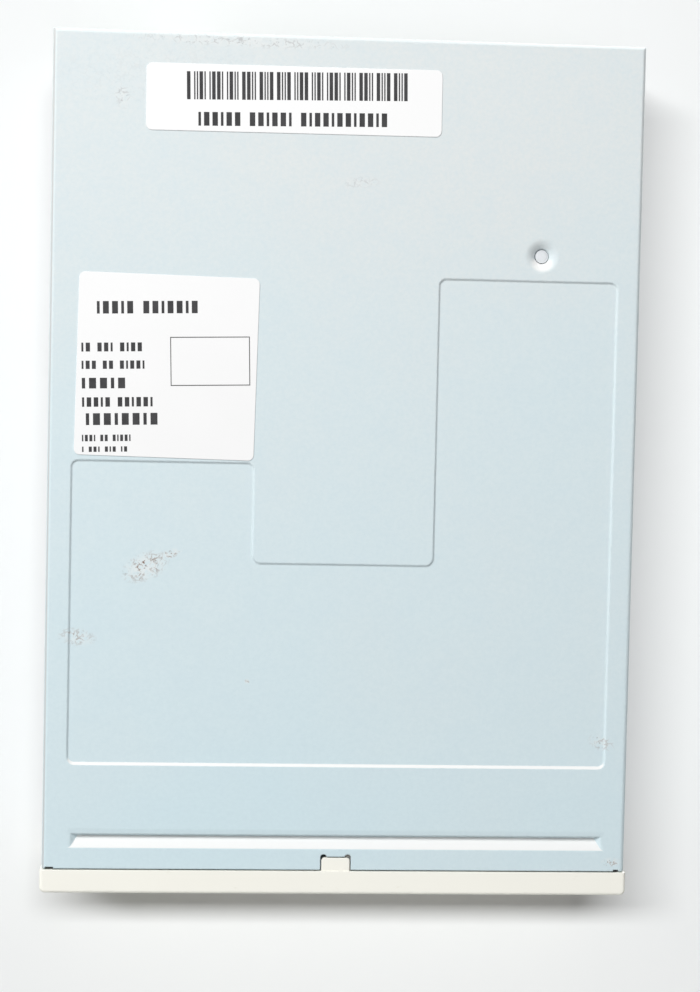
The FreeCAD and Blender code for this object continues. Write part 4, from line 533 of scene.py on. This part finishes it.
# Six small parts with tinned end caps stand in a row near the rear
parts_along, parts_pitch, parts_y = 6, 8.0, 58.6
for at in range(parts_along):
    x, y = (at - (parts_along - 1) / 2) * parts_pitch, parts_y
    body = block("body", (x - 0.7, x + 0.7), (y - 0.58, y + 0.58), (board_low - 0.55, board_low))
    bench(body)
    pick("CREASE", lambda mid, run: mid.z < board_low - 0.3)
    bpy.ops.mesh.bevel(offset=0.05 * mm, segments=2)
    bodies.append(off_bench())
    for end in (-1, 1):
        cap = block("cap", sorted((x + end * 0.68, x + end * 1.0)), (y - 0.6, y + 0.6),
                    (board_low - 0.6, board_low))
        bench(cap)
        pick("CREASE", lambda mid, run: mid.z < board_low - 0.3 or (mid.x - x) * end > 0.9)
        bpy.ops.mesh.bevel(offset=0.07 * mm, segments=2)
        legs.append(off_bench())

# A flat cable's socket on top of the board, hollowed from above
socket = block("socket", (15.3, 18.5), (48.4, 52.0), (3.8, 6.2))
bench(socket)
pick("FACE", lambda mid, out: out.z > 0.9)
bpy.ops.mesh.inset(thickness=0.35 * mm)
bpy.ops.mesh.extrude_region_move(TRANSFORM_OT_translate=moved(0, 0, -0.9))
pick("CREASE", lambda mid, run: mid.z > 6.1)
bpy.ops.mesh.bevel(offset=0.08 * mm, segments=2)
bodies.append(off_bench())
fitted(smooth(joined("chip_bodies", bodies), 30), epoxy_black, "frame", "chip_black", "board_parts")
fitted(smooth(joined("chip_legs", legs), 30), tinned_pin, "frame", "contact_tin")

# Solder has wicked up each connector pin where it comes through the board
pin_fields = ((-3.32, 66.4, 17, 2, 2.54), (-33.75, 67.4, 4, 1, 2.5), (-3.0, 20.0, 9, 1, 1.25),
              (-16.0, 62.2, 5, 1, 1.0))
joints = []
for x, y, columns, rows, pitch in pin_fields:
    wide = 0.72 if pitch > 2 else 0.42
    joint = round_bar("joint", x, y, (board_low - 0.75, board_low + 0.02), wide * 0.34, 14, wide)
    bench(joint)
    pick("FACE", lambda mid, out: out.z < -0.9)
    bpy.ops.mesh.inset(thickness=0.05 * mm)
    bpy.ops.mesh.extrude_region_move(TRANSFORM_OT_translate=moved(0, 0, -0.2))
    bpy.ops.mesh.bevel(offset=0.05 * mm, segments=2)
    off_bench()
    apply_to(joint, "ARRAY", count=columns, use_relative_offset=False, use_constant_offset=True,
             constant_offset_displace=(pitch * mm, 0, 0))
    apply_to(joint, "ARRAY", count=rows, use_relative_offset=False, use_constant_offset=True,
             constant_offset_displace=(0, pitch * mm, 0))
    joints.append(joint)
solder = finish("solder", (0.72, 0.72, 0.71), metal=1.0, rough=0.20, cloud=0.08, cloud_size=1.5,
                grain_size=0.2, relief=0.01, edge=(0.92, 0.92, 0.9), edge_width=0.1)
fitted(smooth(joined("solder_joints", joints), 40), solder, "frame", "contact_tin")


# ---- Disk sensing ------------------------------------------------------------------------------
# Three natural white plungers feel the cartridge through small black switches,
# and the cartridge comes to rest on four turned steel posts.
dress(white_moulding, "density_plunger", "write_protect_plunger", "disk_in_plunger")
dress(ground_steel, "disk_rest_posts")


# ---- Disk holder, slider and shutter lever -----------------------------------------------------
# Three zinc-plated pressings slide and drop over one another on pins that ride in slots,
# held back by two coil springs and joined to the shutter lever at a riveted post.
dress(zinc_plate, "disk_holder", "slider_plate", "shutter_lever")
dress(ground_steel, "holder_pins")
dress(spring_wire, "lever_spring")

# Each eject spring is wound from music wire between an ear of the chassis and one of the slider.
# It is built here at rest; on the real drive it shortens by a quarter as the slider comes forward
spring_x, spring_front, spring_rear, spring_z = 45.4, -46.0, -25.2, 8.4
coil_radius, coil_wire, coil_turns, coil_steps, eject_travel = 1.3, 0.25, 17, 24, 5.0
bpy.ops.object.select_all(action="DESELECT")
bpy.ops.mesh.primitive_circle_add(vertices=12, radius=coil_wire * mm, location=(coil_radius * mm, 0, 0),
                                  rotation=(math.radians(90), 0, 0))
coil = settle("eject_coil_right")
apply_to(coil, "SCREW", axis="Z", angle=math.radians(360 * coil_turns), steps=coil_steps * coil_turns,
         render_steps=coil_steps * coil_turns, screw_offset=(spring_rear - spring_front - 2 * coil_wire) * mm)
bench(coil)
bpy.ops.mesh.select_all(action="SELECT")
bpy.ops.mesh.fill_holes(sides=12)
bpy.ops.mesh.select_all(action="SELECT")
bpy.ops.mesh.normals_make_consistent(inside=False)
bpy.ops.transform.rotate(value=math.radians(90), orient_axis="X", center_override=(0, 0, 0))
bpy.ops.transform.translate(**moved(spring_x, spring_front + coil_wire, spring_z))
off_bench()
smooth(coil, 60)
spring_centre = (0, (spring_front + spring_rear) / 2)
other_coil = turned_copy(coil, spring_centre, 180)
for spring, stands_for in ((coil, "eject_spring_right"), (other_coil, "eject_spring_left")):
    spring.name = spring.data.name = stands_for.replace("spring", "coil")
    fitted(spring, spring_wire, "frame", "spring_steel", stands_for)
    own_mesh(spring)

# The lever's post is turned, with a shoulder under the hub and a rounded tip in the lid's dimple
post_x, post_y, post_foot, post_shoulder, post_top = 33.3, 37.3, 20.0, 21.7, 24.7
post = round_bar("post_turned", post_x, post_y, (post_foot, post_shoulder), 1.5, 64)
bench(post)
pick("FACE", lambda mid, out: out.z > 0.9)
bpy.ops.mesh.inset(thickness=0.35 * mm)
bpy.ops.mesh.extrude_region_move(TRANSFORM_OT_translate=moved(0, 0, post_top - post_shoulder))
pick("CREASE", lambda mid, run: mid.z > post_top - 0.1)
bpy.ops.mesh.bevel(offset=0.2 * mm, segments=4)
pick("FACE", lambda mid, out: out.z > 0.9 and mid.z > post_top - 0.06)
bpy.ops.mesh.inset(thickness=0.15 * mm)
bpy.ops.mesh.inset(thickness=0.25 * mm)
bpy.ops.transform.translate(**moved(0, 0, -0.12))
off_bench()
post_steel = finish("post_steel", (0.82, 0.85, 0.875), metal=1.0, rough=0.40, cloud=0.05, cloud_size=3,
                    grain_size=0.15, relief=0.006)
fitted(smooth(post, 30), post_steel, "disk_holder", "bright_steel", "lever_post")


# ---- Front -------------------------------------------------------------------------------------
# The front, its sprung dust door and the eject button are moulded in warm ivory plastic with a
# fine etched texture. A clear green light pipe carries the lamp to the face.
def handled(tree, place):
    marks = noise(tree, stretched(tree, place, (0.6, 1, 1.4)), 420, 4, 0.7)
    return spread(tree, marks, 0.66, 0.78, 0.0, 0.35), (0.70, 0.67, 0.58), 0.0


ivory_moulding = finish("ivory_moulding", (0.91, 0.90, 0.825), rough=0.50, cloud=0.018, cloud_size=30,
                        grain_size=0.16, relief=0.012, edge=(0.93, 0.92, 0.87), edge_share=0.5,
                        edge_width=0.3, detail=handled, shine=0.4)
dress(ivory_moulding, "front_bezel", "eject_button")
dress(finish("door_moulding", (0.83, 0.815, 0.73), rough=0.46, cloud=0.02, cloud_size=30,
             grain_size=0.16, relief=0.010, edge=(0.9, 0.89, 0.83), edge_share=0.5, edge_width=0.3,
             detail=handled, shine=0.4), "dust_door")
dress(spring_wire, "door_spring")
light_pipe = finish("light_pipe", (0.30, 0.62, 0.16), rough=0.12, cloud=0.05, cloud_size=3,
                    grain_size=0.3, relief=0.002, edge=(0.62, 0.85, 0.42), edge_width=0.3)
light_pipe.node_tree.nodes["Principled BSDF"].inputs["Coat Weight"].default_value = 0.6
dress(light_pipe, "lamp_lens")


# ---- Underside screws --------------------------------------------------------------------------
# Plated cross-headed screws hold the board and the mechanism from below.
dress(screw_plate, "underside_screws")


# ---- Lid ---------------------------------------------------------------------------------------
# One pressing of half-millimetre steel closes the top. Its sunk panel, groove and dimple stiffen
# it, its sides snap over barbs on the chassis, and it is painted pale blue-grey all over.
lid_half, lid_front, lid_rear, lid_top, lid_foot = 50.5, -69.28, 73.5, 25.2, 12.0
lid_sheet, lid_bend, tool_over = 0.5, 0.8, 1.0
panel_sides, tongue_sides = (-46.50, 46.64), (-15.28, 15.62)
panel_front, panel_middle, panel_left, panel_right = -51.37, -16.18, 0.94, 33.10
panel_depth, panel_slope, front_slope, panel_corner = 0.28, 0.26, 0.50, 1.3
groove_sides, groove_front, groove_rear = (-46.1, 46.8), -65.7, -62.3
groove_steps = ((0.12, 0.5, -65.40, -63.22), (0.94, 1.65, -63.62, -63.58))
dimple_depth, dimple_bowl, dimple_radius, bowl_radius, hole_radius = 0.85, 0.26, 2.7, 2.0, 1.20
notch_half, notch_rear, ear_inner, ear_rear, cut_front = 2.64, -66.99, 1.54, -66.58, -70.3
window_places, window_half, window_low, window_high = (-42.28, 0.5, 55.5), 2.8, 14.3, 16.9


def flat_sheet(name, x, y, z):
    bpy.ops.object.select_all(action="DESELECT")
    bpy.ops.mesh.primitive_plane_add(size=mm, location=(sum(x) / 2 * mm, sum(y) / 2 * mm, z * mm))
    bpy.ops.transform.resize(value=(x[1] - x[0], y[1] - y[0], 1))
    return settle(name)


def cut_away(piece, *tools):
    for tool in tools:
        apply_to(piece, "BOOLEAN", object=tool, operation="DIFFERENCE", solver="EXACT")
        bpy.data.objects.remove(tool)


lid = block("lid", (-lid_half, lid_half), (lid_front, lid_rear), (lid_foot, lid_top))
bench(lid)
pick("EDGE", lambda mid, run: near(mid.z, lid_top) and not near(mid.y, lid_front))
bpy.ops.mesh.bevel(offset=lid_bend * mm, segments=6)
off_bench()

# the panel's tool is the front band with an arm drawn out behind each end, and sloping sides
panel_tool = flat_sheet("panel_tool", panel_sides, (panel_front, panel_middle), lid_top + tool_over)
bench(panel_tool)
for side in tongue_sides:
    bpy.ops.mesh.select_all(action="SELECT")
    bpy.ops.mesh.bisect(plane_co=(side * mm, 0, 0), plane_no=(1, 0, 0))
for side, rear in ((-1, panel_left), (1, panel_right)):
    pick("EDGE", lambda mid, run: near(mid.y, panel_middle) and mid.x * side > 16)
    bpy.ops.mesh.extrude_region_move(TRANSFORM_OT_translate=moved(0, rear - panel_middle, 0))
bpy.ops.mesh.select_all(action="SELECT")
bpy.ops.mesh.remove_doubles(threshold=0.00001)
bpy.ops.mesh.dissolve_limited(angle_limit=0.01)
bpy.ops.mesh.select_mode(type="VERT")
bpy.ops.mesh.select_all(action="SELECT")
bpy.ops.mesh.bevel(offset=panel_corner * mm, segments=8, affect="VERTICES")
bpy.ops.mesh.select_mode(type="FACE")
bpy.ops.mesh.select_all(action="SELECT")
bpy.ops.mesh.extrude_region_move(TRANSFORM_OT_translate=moved(0, 0, -tool_over))
bpy.ops.mesh.inset(thickness=panel_slope * mm, depth=0)
bpy.ops.transform.translate(**moved(0, 0, -panel_depth))
pick("EDGE", lambda mid, run: near(mid.z, lid_top - panel_depth) and mid.y < panel_front + panel_corner + 0.1)
bpy.ops.transform.translate(**moved(0, front_slope - panel_slope, 0))
bpy.ops.mesh.select_all(action="SELECT")
bpy.ops.mesh.normals_make_consistent(inside=False)
off_bench()

# the groove is a shallow valley, with a step at the rear and mitred ends
groove_tool = flat_sheet("groove_tool", groove_sides, (groove_front, groove_rear), lid_top + tool_over)
bench(groove_tool)
bpy.ops.mesh.select_all(action="SELECT")
bpy.ops.mesh.extrude_region_move(TRANSFORM_OT_translate=moved(0, 0, -tool_over))
half = (groove_sides[1] - groove_sides[0]) / 2
level, end, front, rear = 0.0, 0.0, groove_front, groove_rear
for step_level, step_end, step_front, step_rear in groove_steps:
    bpy.ops.mesh.extrude_region_move(TRANSFORM_OT_translate=moved(0, (
        step_front + step_rear - front - rear) / 2, level - step_level))
    bpy.ops.transform.resize(value=((half - step_end) / (half - end),
                                    (step_rear - step_front) / (rear - front), 1))
    level, end, front, rear = step_level, step_end, step_front, step_rear
bpy.ops.mesh.select_all(action="SELECT")
bpy.ops.mesh.normals_make_consistent(inside=False)
off_bench()

dimple_tool = round_bar("dimple_tool", post_x, post_y, (lid_top - dimple_depth, lid_top - dimple_bowl),
                        hole_radius - 0.05, 64, bowl_radius)
bench(dimple_tool)
pick("FACE", lambda mid, out: out.z > 0.9)
bpy.ops.mesh.extrude_region_move(TRANSFORM_OT_translate=moved(0, 0, dimple_bowl))
bpy.ops.transform.resize(value=(dimple_radius / bowl_radius, dimple_radius / bowl_radius, 1))
bpy.ops.mesh.extrude_region_move(TRANSFORM_OT_translate=moved(0, 0, tool_over))
off_bench()
cut_away(lid, panel_tool, groove_tool, dimple_tool)

# front notch with its round ears, snap windows, corner reliefs and the open rear edge
above = (lid_top - 3, lid_top + tool_over)
openings = [((-43.0, 43.0), (72.4, 74.5), (11.0, 14.0)),
            ((-notch_half, notch_half), (cut_front, notch_rear), above),
            ((-49.9, -48.5), (cut_front, -69.02), above), ((48.6, 49.5), (cut_front, -69.02), above)]
for side in (-1, 1):
    openings.append((sorted((side * 49.55, side * 51.0)), (72.6, 74.5), (11.0, 24.0)))
    for y in window_places:
        openings.append((sorted((side * 49.2, side * 52.0)), (y - window_half, y + window_half),
                         (window_low, window_high)))
for x, y, z in openings:
    cut_away(lid, block("opening", x, y, z))
for side in (-1, 1):
    x, y = sorted((side * ear_inner, side * notch_half)), (cut_front, ear_rear)
    ear = block("ear", x, y, above)
    bench(ear)
    pick("EDGE", lambda mid, run: abs(run.z) > 1 and near(mid.y, y[1]))
    bpy.ops.mesh.bevel(offset=0.5 * mm, segments=6)
    cut_away(lid, off_bench())
    openings.append((x, y, above))
cut_away(lid, round_bar("hole", post_x, post_y, above, hole_radius, 64))


def waste(mid, out):
    """The block's underside and front, and the walls and floors of the openings, which aren't sheet."""
    if math.hypot(mid.x - post_x, mid.y - post_y) < hole_radius + 0.02:
        return True
    if out.z < -0.9 and mid.z < lid_foot + 0.1 or out.y < -0.9 and mid.y < lid_front + 0.1:
        return True
    if out.z > 0.9 and mid.z > lid_top - 1.1 or abs(out.x) > 0.9 and abs(mid.x) > lid_half - 0.1:
        return False
    if mid.y > lid_rear - 0.1:
        return False
    return any(x[0] - 0.01 < mid.x < x[1] + 0.01 and y[0] - 0.01 < mid.y < y[1] + 0.01
               and z[0] < mid.z < z[1] for x, y, z in openings)


# the pressed creases, each at its height: the groove's rear edge, the rest of the groove, the panel's
# edge and floor, and the dimple's rim and bowl
creases = ((lid_top, groove_rear - 0.01, groove_rear + 0.01, 0.4),
           (lid_top, groove_front - 0.01, groove_rear - 0.1, 0.14),
           (lid_top, panel_front - 0.1, panel_right + 0.1, 0.08),
           (lid_top - panel_depth, panel_front, panel_right, 0.06),
           (lid_top, panel_right + 0.2, 45.0, 0.30), (lid_top - dimple_bowl, panel_right + 0.2, 45.0, 0.22))
bench(lid)
bpy.ops.mesh.select_all(action="SELECT")
bpy.ops.mesh.remove_doubles(threshold=0.005 * mm)
pick("FACE", waste)
bpy.ops.mesh.delete(type="FACE")
for level, front, rear, bend in creases:
    pick("CREASE", lambda mid, run: near(mid.z, level) and abs(mid.x) < 47 and front < mid.y < rear)
    bpy.ops.mesh.bevel(offset=bend * mm, segments=4)
off_bench()
apply_to(lid, "SOLIDIFY", thickness=lid_sheet * mm, offset=-1.0)
smooth(lid, 17)

# the paint: satin with a fine grain, bluer to the front, scuffed brown at the left and scratched along the
# rear edge, with a painted dark reflection along the left bend and a painted highlight on the pressed walls
# that face the rear
cover_paint = bpy.data.materials.new("cover_paint")
cover_paint.use_nodes = True
tree = cover_paint.node_tree
body = tree.nodes["Principled BSDF"]
place = step(tree, "TexCoord").outputs["Object"]
sideways, along, upward = step(tree, "SeparateXYZ", n0=place).outputs
front_blue, rear_grey, reflection_dark = (0.605, 0.74, 0.785, 1), (0.69, 0.725, 0.725, 1), (0.36, 0.33, 0.32, 1)
brown_grime, grey_grime = (0.22, 0.15, 0.12, 1), (0.33, 0.33, 0.34, 1)
drift = maths(tree, "ADD", spread(tree, along, -0.06, 0.065, 0.0, 0.85), spread(
    tree, noise(tree, place, 16, 3), 0.3, 0.7, -0.12, 0.25))
tint = mixed(tree, drift, front_blue, rear_grey)
grain = noise(tree, place, 1500, 3, 0.65)
mottle = noise(tree, place, 260, 4, 0.6)
tint = mixed(tree, spread(tree, grain, 0.35, 0.7, 0.0, 0.24), tint, (0.50, 0.63, 0.68, 1))
tint = mixed(tree, spread(tree, mottle, 0.4, 0.75, 0.0, 0.20), tint, (0.56, 0.68, 0.74, 1))

# each handled spot is an oval: its middle, half-lengths, turn in degrees, and how worn it is
spots = ((-33.6, -17.2, 4.6, 2.6, 24, 1.0), (-29.6, -15.0, 2.6, 0.9, 22, 0.9),
         (-45.0, -29.4, 3.6, 1.7, -8, 0.62), (-19.0, 72.1, 21.0, 1.2, -1, 0.62),
         (-38.7, 62.4, 1.5, 2.6, 10, 0.55), (1.8, 49.0, 3.8, 1.1, 5, 0.45),
         (-15.9, -36.7, 0.5, 0.5, 0, 1.0), (45.9, -46.7, 2.6, 1.5, -20, 0.55),
         (48.2, -67.6, 1.9, 0.9, 0, 0.9), (-30.0, 66.0, 28.0, 7.0, 0, 0.10))
handling = None
for x, y, across, deep, turn, share in spots:
    near_by = step(tree, "Mapping", {"vector_type": "TEXTURE"}, Vector=place,
                   Location=(x * mm, y * mm, lid_top * mm), Rotation=(0, 0, math.radians(turn)),
                   Scale=(across * mm, deep * mm, 1.0)).outputs[0]
    reach = step(tree, "VectorMath", {"operation": "LENGTH"}, n0=near_by).outputs["Value"]
    field = spread(tree, reach, 1.0, 0.35, 0.0, share)
    handling = field if handling is None else maths(tree, "MAXIMUM", handling, field)
wander = step(tree, "TexNoise", Vector=place, Scale=900.0, Detail=3.0).outputs["Color"]
wander = step(tree, "VectorMath", {"operation": "SCALE"}, n0=wander, Scale=0.0012).outputs[0]
warped = step(tree, "VectorMath", {"operation": "ADD"}, n0=place, n1=wander).outputs[0]
veins = step(tree, "TexVoronoi", {"feature": "DISTANCE_TO_EDGE"}, Vector=warped, Scale=820.0).outputs[0]
lines = maths(tree, "MULTIPLY", spread(tree, veins, 0.12, 0.03, 0.0, 0.9),
              spread(tree, noise(tree, place, 700, 3, 0.7), 0.45, 0.56, 0.0, 1.0))
specks = spread(tree, noise(tree, place, 1500, 3, 0.7), 0.60, 0.68, 0.0, 1.0)
marks = maths(tree, "MULTIPLY", maths(tree, "MAXIMUM", lines, specks), handling)
halo = maths(tree, "MULTIPLY", spread(tree, veins, 0.3, 0.05, 0.0, 0.5), handling)
tint = mixed(tree, halo, tint, (0.80, 0.80, 0.78, 1))
grime = mixed(tree, spread(tree, along, -0.01, 0.04, 0.0, 1.0), brown_grime, grey_grime)
tint = mixed(tree, marks, tint, grime)
# Painted dark reflection: the outer part of the lid's left bend is coloured dark grey-brown, standing for the
# dark room it would mirror
left_bend_dark_reflection = maths(tree, "MULTIPLY", spread(tree, sideways, -0.0500, -0.05018, 0.0, 0.6),
                  spread(tree, upward, 0.0246, 0.0249, 0.0, 1.0))
tint = mixed(tree, left_bend_dark_reflection, tint, reflection_dark)
# Painted highlight: the pressed walls that face the rear, short of the rear bend, are coloured near white
# where the rear lamp's gleam would fall
facing = step(tree, "SeparateXYZ", n0=step(tree, "TexCoord").outputs["Normal"]).outputs
rear_wall_highlight = maths(tree, "MULTIPLY", spread(tree, facing["Y"], 0.12, 0.36, 0.0, 0.92),
               spread(tree, facing["Z"], 0.6, 0.8, 0.0, 1.0))
rear_wall_highlight = maths(tree, "MULTIPLY", rear_wall_highlight, spread(tree, along, 0.066, 0.062, 0.0, 1.0))
tint = mixed(tree, rear_wall_highlight, tint, (0.84, 0.84, 0.83, 1))
soft, rubbed = rubbed_edge(tree, 0.3 * mm)
rim = maths(tree, "MULTIPLY", rubbed, spread(tree, mottle, 0.45, 0.65, 0.05, 0.5))
tint = mixed(tree, rim, tint, (0.72, 0.73, 0.72, 1))
tree.links.new(tint, body.inputs["Base Color"])
tree.links.new(maths(tree, "ADD", spread(tree, mottle, 0.3, 0.7, 0.34, 0.40), maths(
    tree, "MULTIPLY", marks, 0.25)), body.inputs["Roughness"])
height = maths(tree, "SUBTRACT", maths(tree, "MULTIPLY", grain, 0.012), maths(tree, "MULTIPLY", marks, 0.03))
bump = step(tree, "Bump", Strength=0.6, Distance=mm, Height=height, Normal=soft).outputs[0]
tree.links.new(bump, body.inputs["Normal"])
body.inputs["Specular IOR Level"].default_value = 0.9
fitted(lid, cover_paint, "frame", "cover_paint", "top_cover")


# ---- Labels ------------------------------------------------------------------------------------
# Two white paper labels are stuck on the lid, one along the rear and one at the left. Their
# print is plain bars, strokes and an empty frame in dark grey ink, which spell nothing.
label_paper = finish("label_paper", (0.875, 0.875, 0.875), rough=0.55, cloud=0.008, cloud_size=12,
                     grain_size=0.12, relief=0.004, edge=(0.80, 0.80, 0.78), edge_share=0.4,
                     edge_width=0.12, shine=0.3)
dress(label_paper, "top_label", "side_label")
label_ink = finish("label_ink", (0.05, 0.05, 0.052), rough=0.5, cloud=0.25, cloud_size=2,
                   grain_size=0.08, relief=0.004, shine=0.3)
ink_low, ink_thick = 25.281, 0.012


def printed(x, y, runs):
    """A strip along x, cut at each run's end. Every second run is bare paper and comes away."""
    strip = flat_sheet("strip", (x, x + sum(runs)), y, ink_low)
    bench(strip)
    bare, at = [], x
    for number, run in enumerate(runs[:-1]):
        if number % 2:
            bare.append((at, at + run))
        at += run
        bpy.ops.mesh.select_all(action="SELECT")
        bpy.ops.mesh.bisect(plane_co=(at * mm, 0, 0), plane_no=(1, 0, 0))
    pick("FACE", lambda mid, out: any(start < mid.x < end for start, end in bare))
    bpy.ops.mesh.delete(type="FACE")
    return off_bench()


def to_length(runs, length):
    return [run * length / sum(runs[:-1]) for run in runs[:-1]]


def strokes(words, length):
    """Upright strokes in groups, as close as small print, with a wider gap between groups."""
    wide, thin, gap, wide_gap = 0.55, 0.26, 0.30, 0.95
    runs = []
    for word, count in enumerate(words):
        for at in range(count):
            runs += [wide if (at + word) % 3 else thin, gap if at < count - 1 else wide_gap]
    return to_length(runs, length)


def laid_on(name, strips, centre, turn):
    sheet = joined(name, strips)
    bench(sheet)
    bpy.ops.mesh.select_all(action="SELECT")
    bpy.ops.transform.rotate(value=math.radians(turn), orient_axis="Z",
                             center_override=(centre[0] * mm, centre[1] * mm, 0))
    bpy.ops.mesh.extrude_region_move(TRANSFORM_OT_translate=moved(0, 0, ink_thick))
    bpy.ops.mesh.select_all(action="SELECT")
    bpy.ops.mesh.normals_make_consistent(inside=False)
    off_bench()
    fitted(sheet, label_ink, "frame", "paper")


wide_bar, thin_bar, bar_count = 0.42, 0.16, 53
top_label_middle, top_label_turn = (-9.65, 62.55), -1.3
bars = []
for number in range(bar_count):
    bars += [wide_bar if number * 5 % 7 < 3 else thin_bar, thin_bar if number % 4 else wide_bar]
laid_on("top_label_print", [printed(-27.9, (62.5, 67.2), to_length(bars, 37.4)),
                            printed(-26.0, (58.1, 60.4), strokes((6, 6, 12), 32.0))],
        top_label_middle, top_label_turn)

# each row of strokes: where it starts, its middle, height, strokes in each group, and length
print_rows = ((-42.2, 27.0, 2.2, (5, 7), 17.0), (-44.9, 20.3, 1.6, (2, 3, 4), 10.2),
              (-44.9, 17.3, 1.5, (3, 2, 5), 10.6), (-44.9, 14.2, 1.9, (5,), 7.3),
              (-44.9, 11.0, 1.7, (5, 6), 11.9), (-44.3, 8.1, 2.1, (8,), 12.1),
              (-45.0, 4.9, 1.2, (4, 2, 5), 8.2), (-45.0, 3.0, 1.0, (1, 3, 3, 2), 7.6))
rows = []
for x, y, tall, words, length in print_rows:
    rows.append(printed(x, (y - tall / 2 + 0.1, y + tall / 2), strokes(words, length)))
frame_line = flat_sheet("frame_line", (-29.9, -16.4), (13.7, 22.0), ink_low)
bench(frame_line)
bpy.ops.mesh.select_all(action="SELECT")
bpy.ops.mesh.inset(thickness=0.14 * mm)
bpy.ops.mesh.delete(type="FACE")
rows.append(off_bench())
side_label_middle, side_label_turn = (-30.5, 17.0), -1.6
laid_on("side_label_print", rows, side_label_middle, side_label_turn)
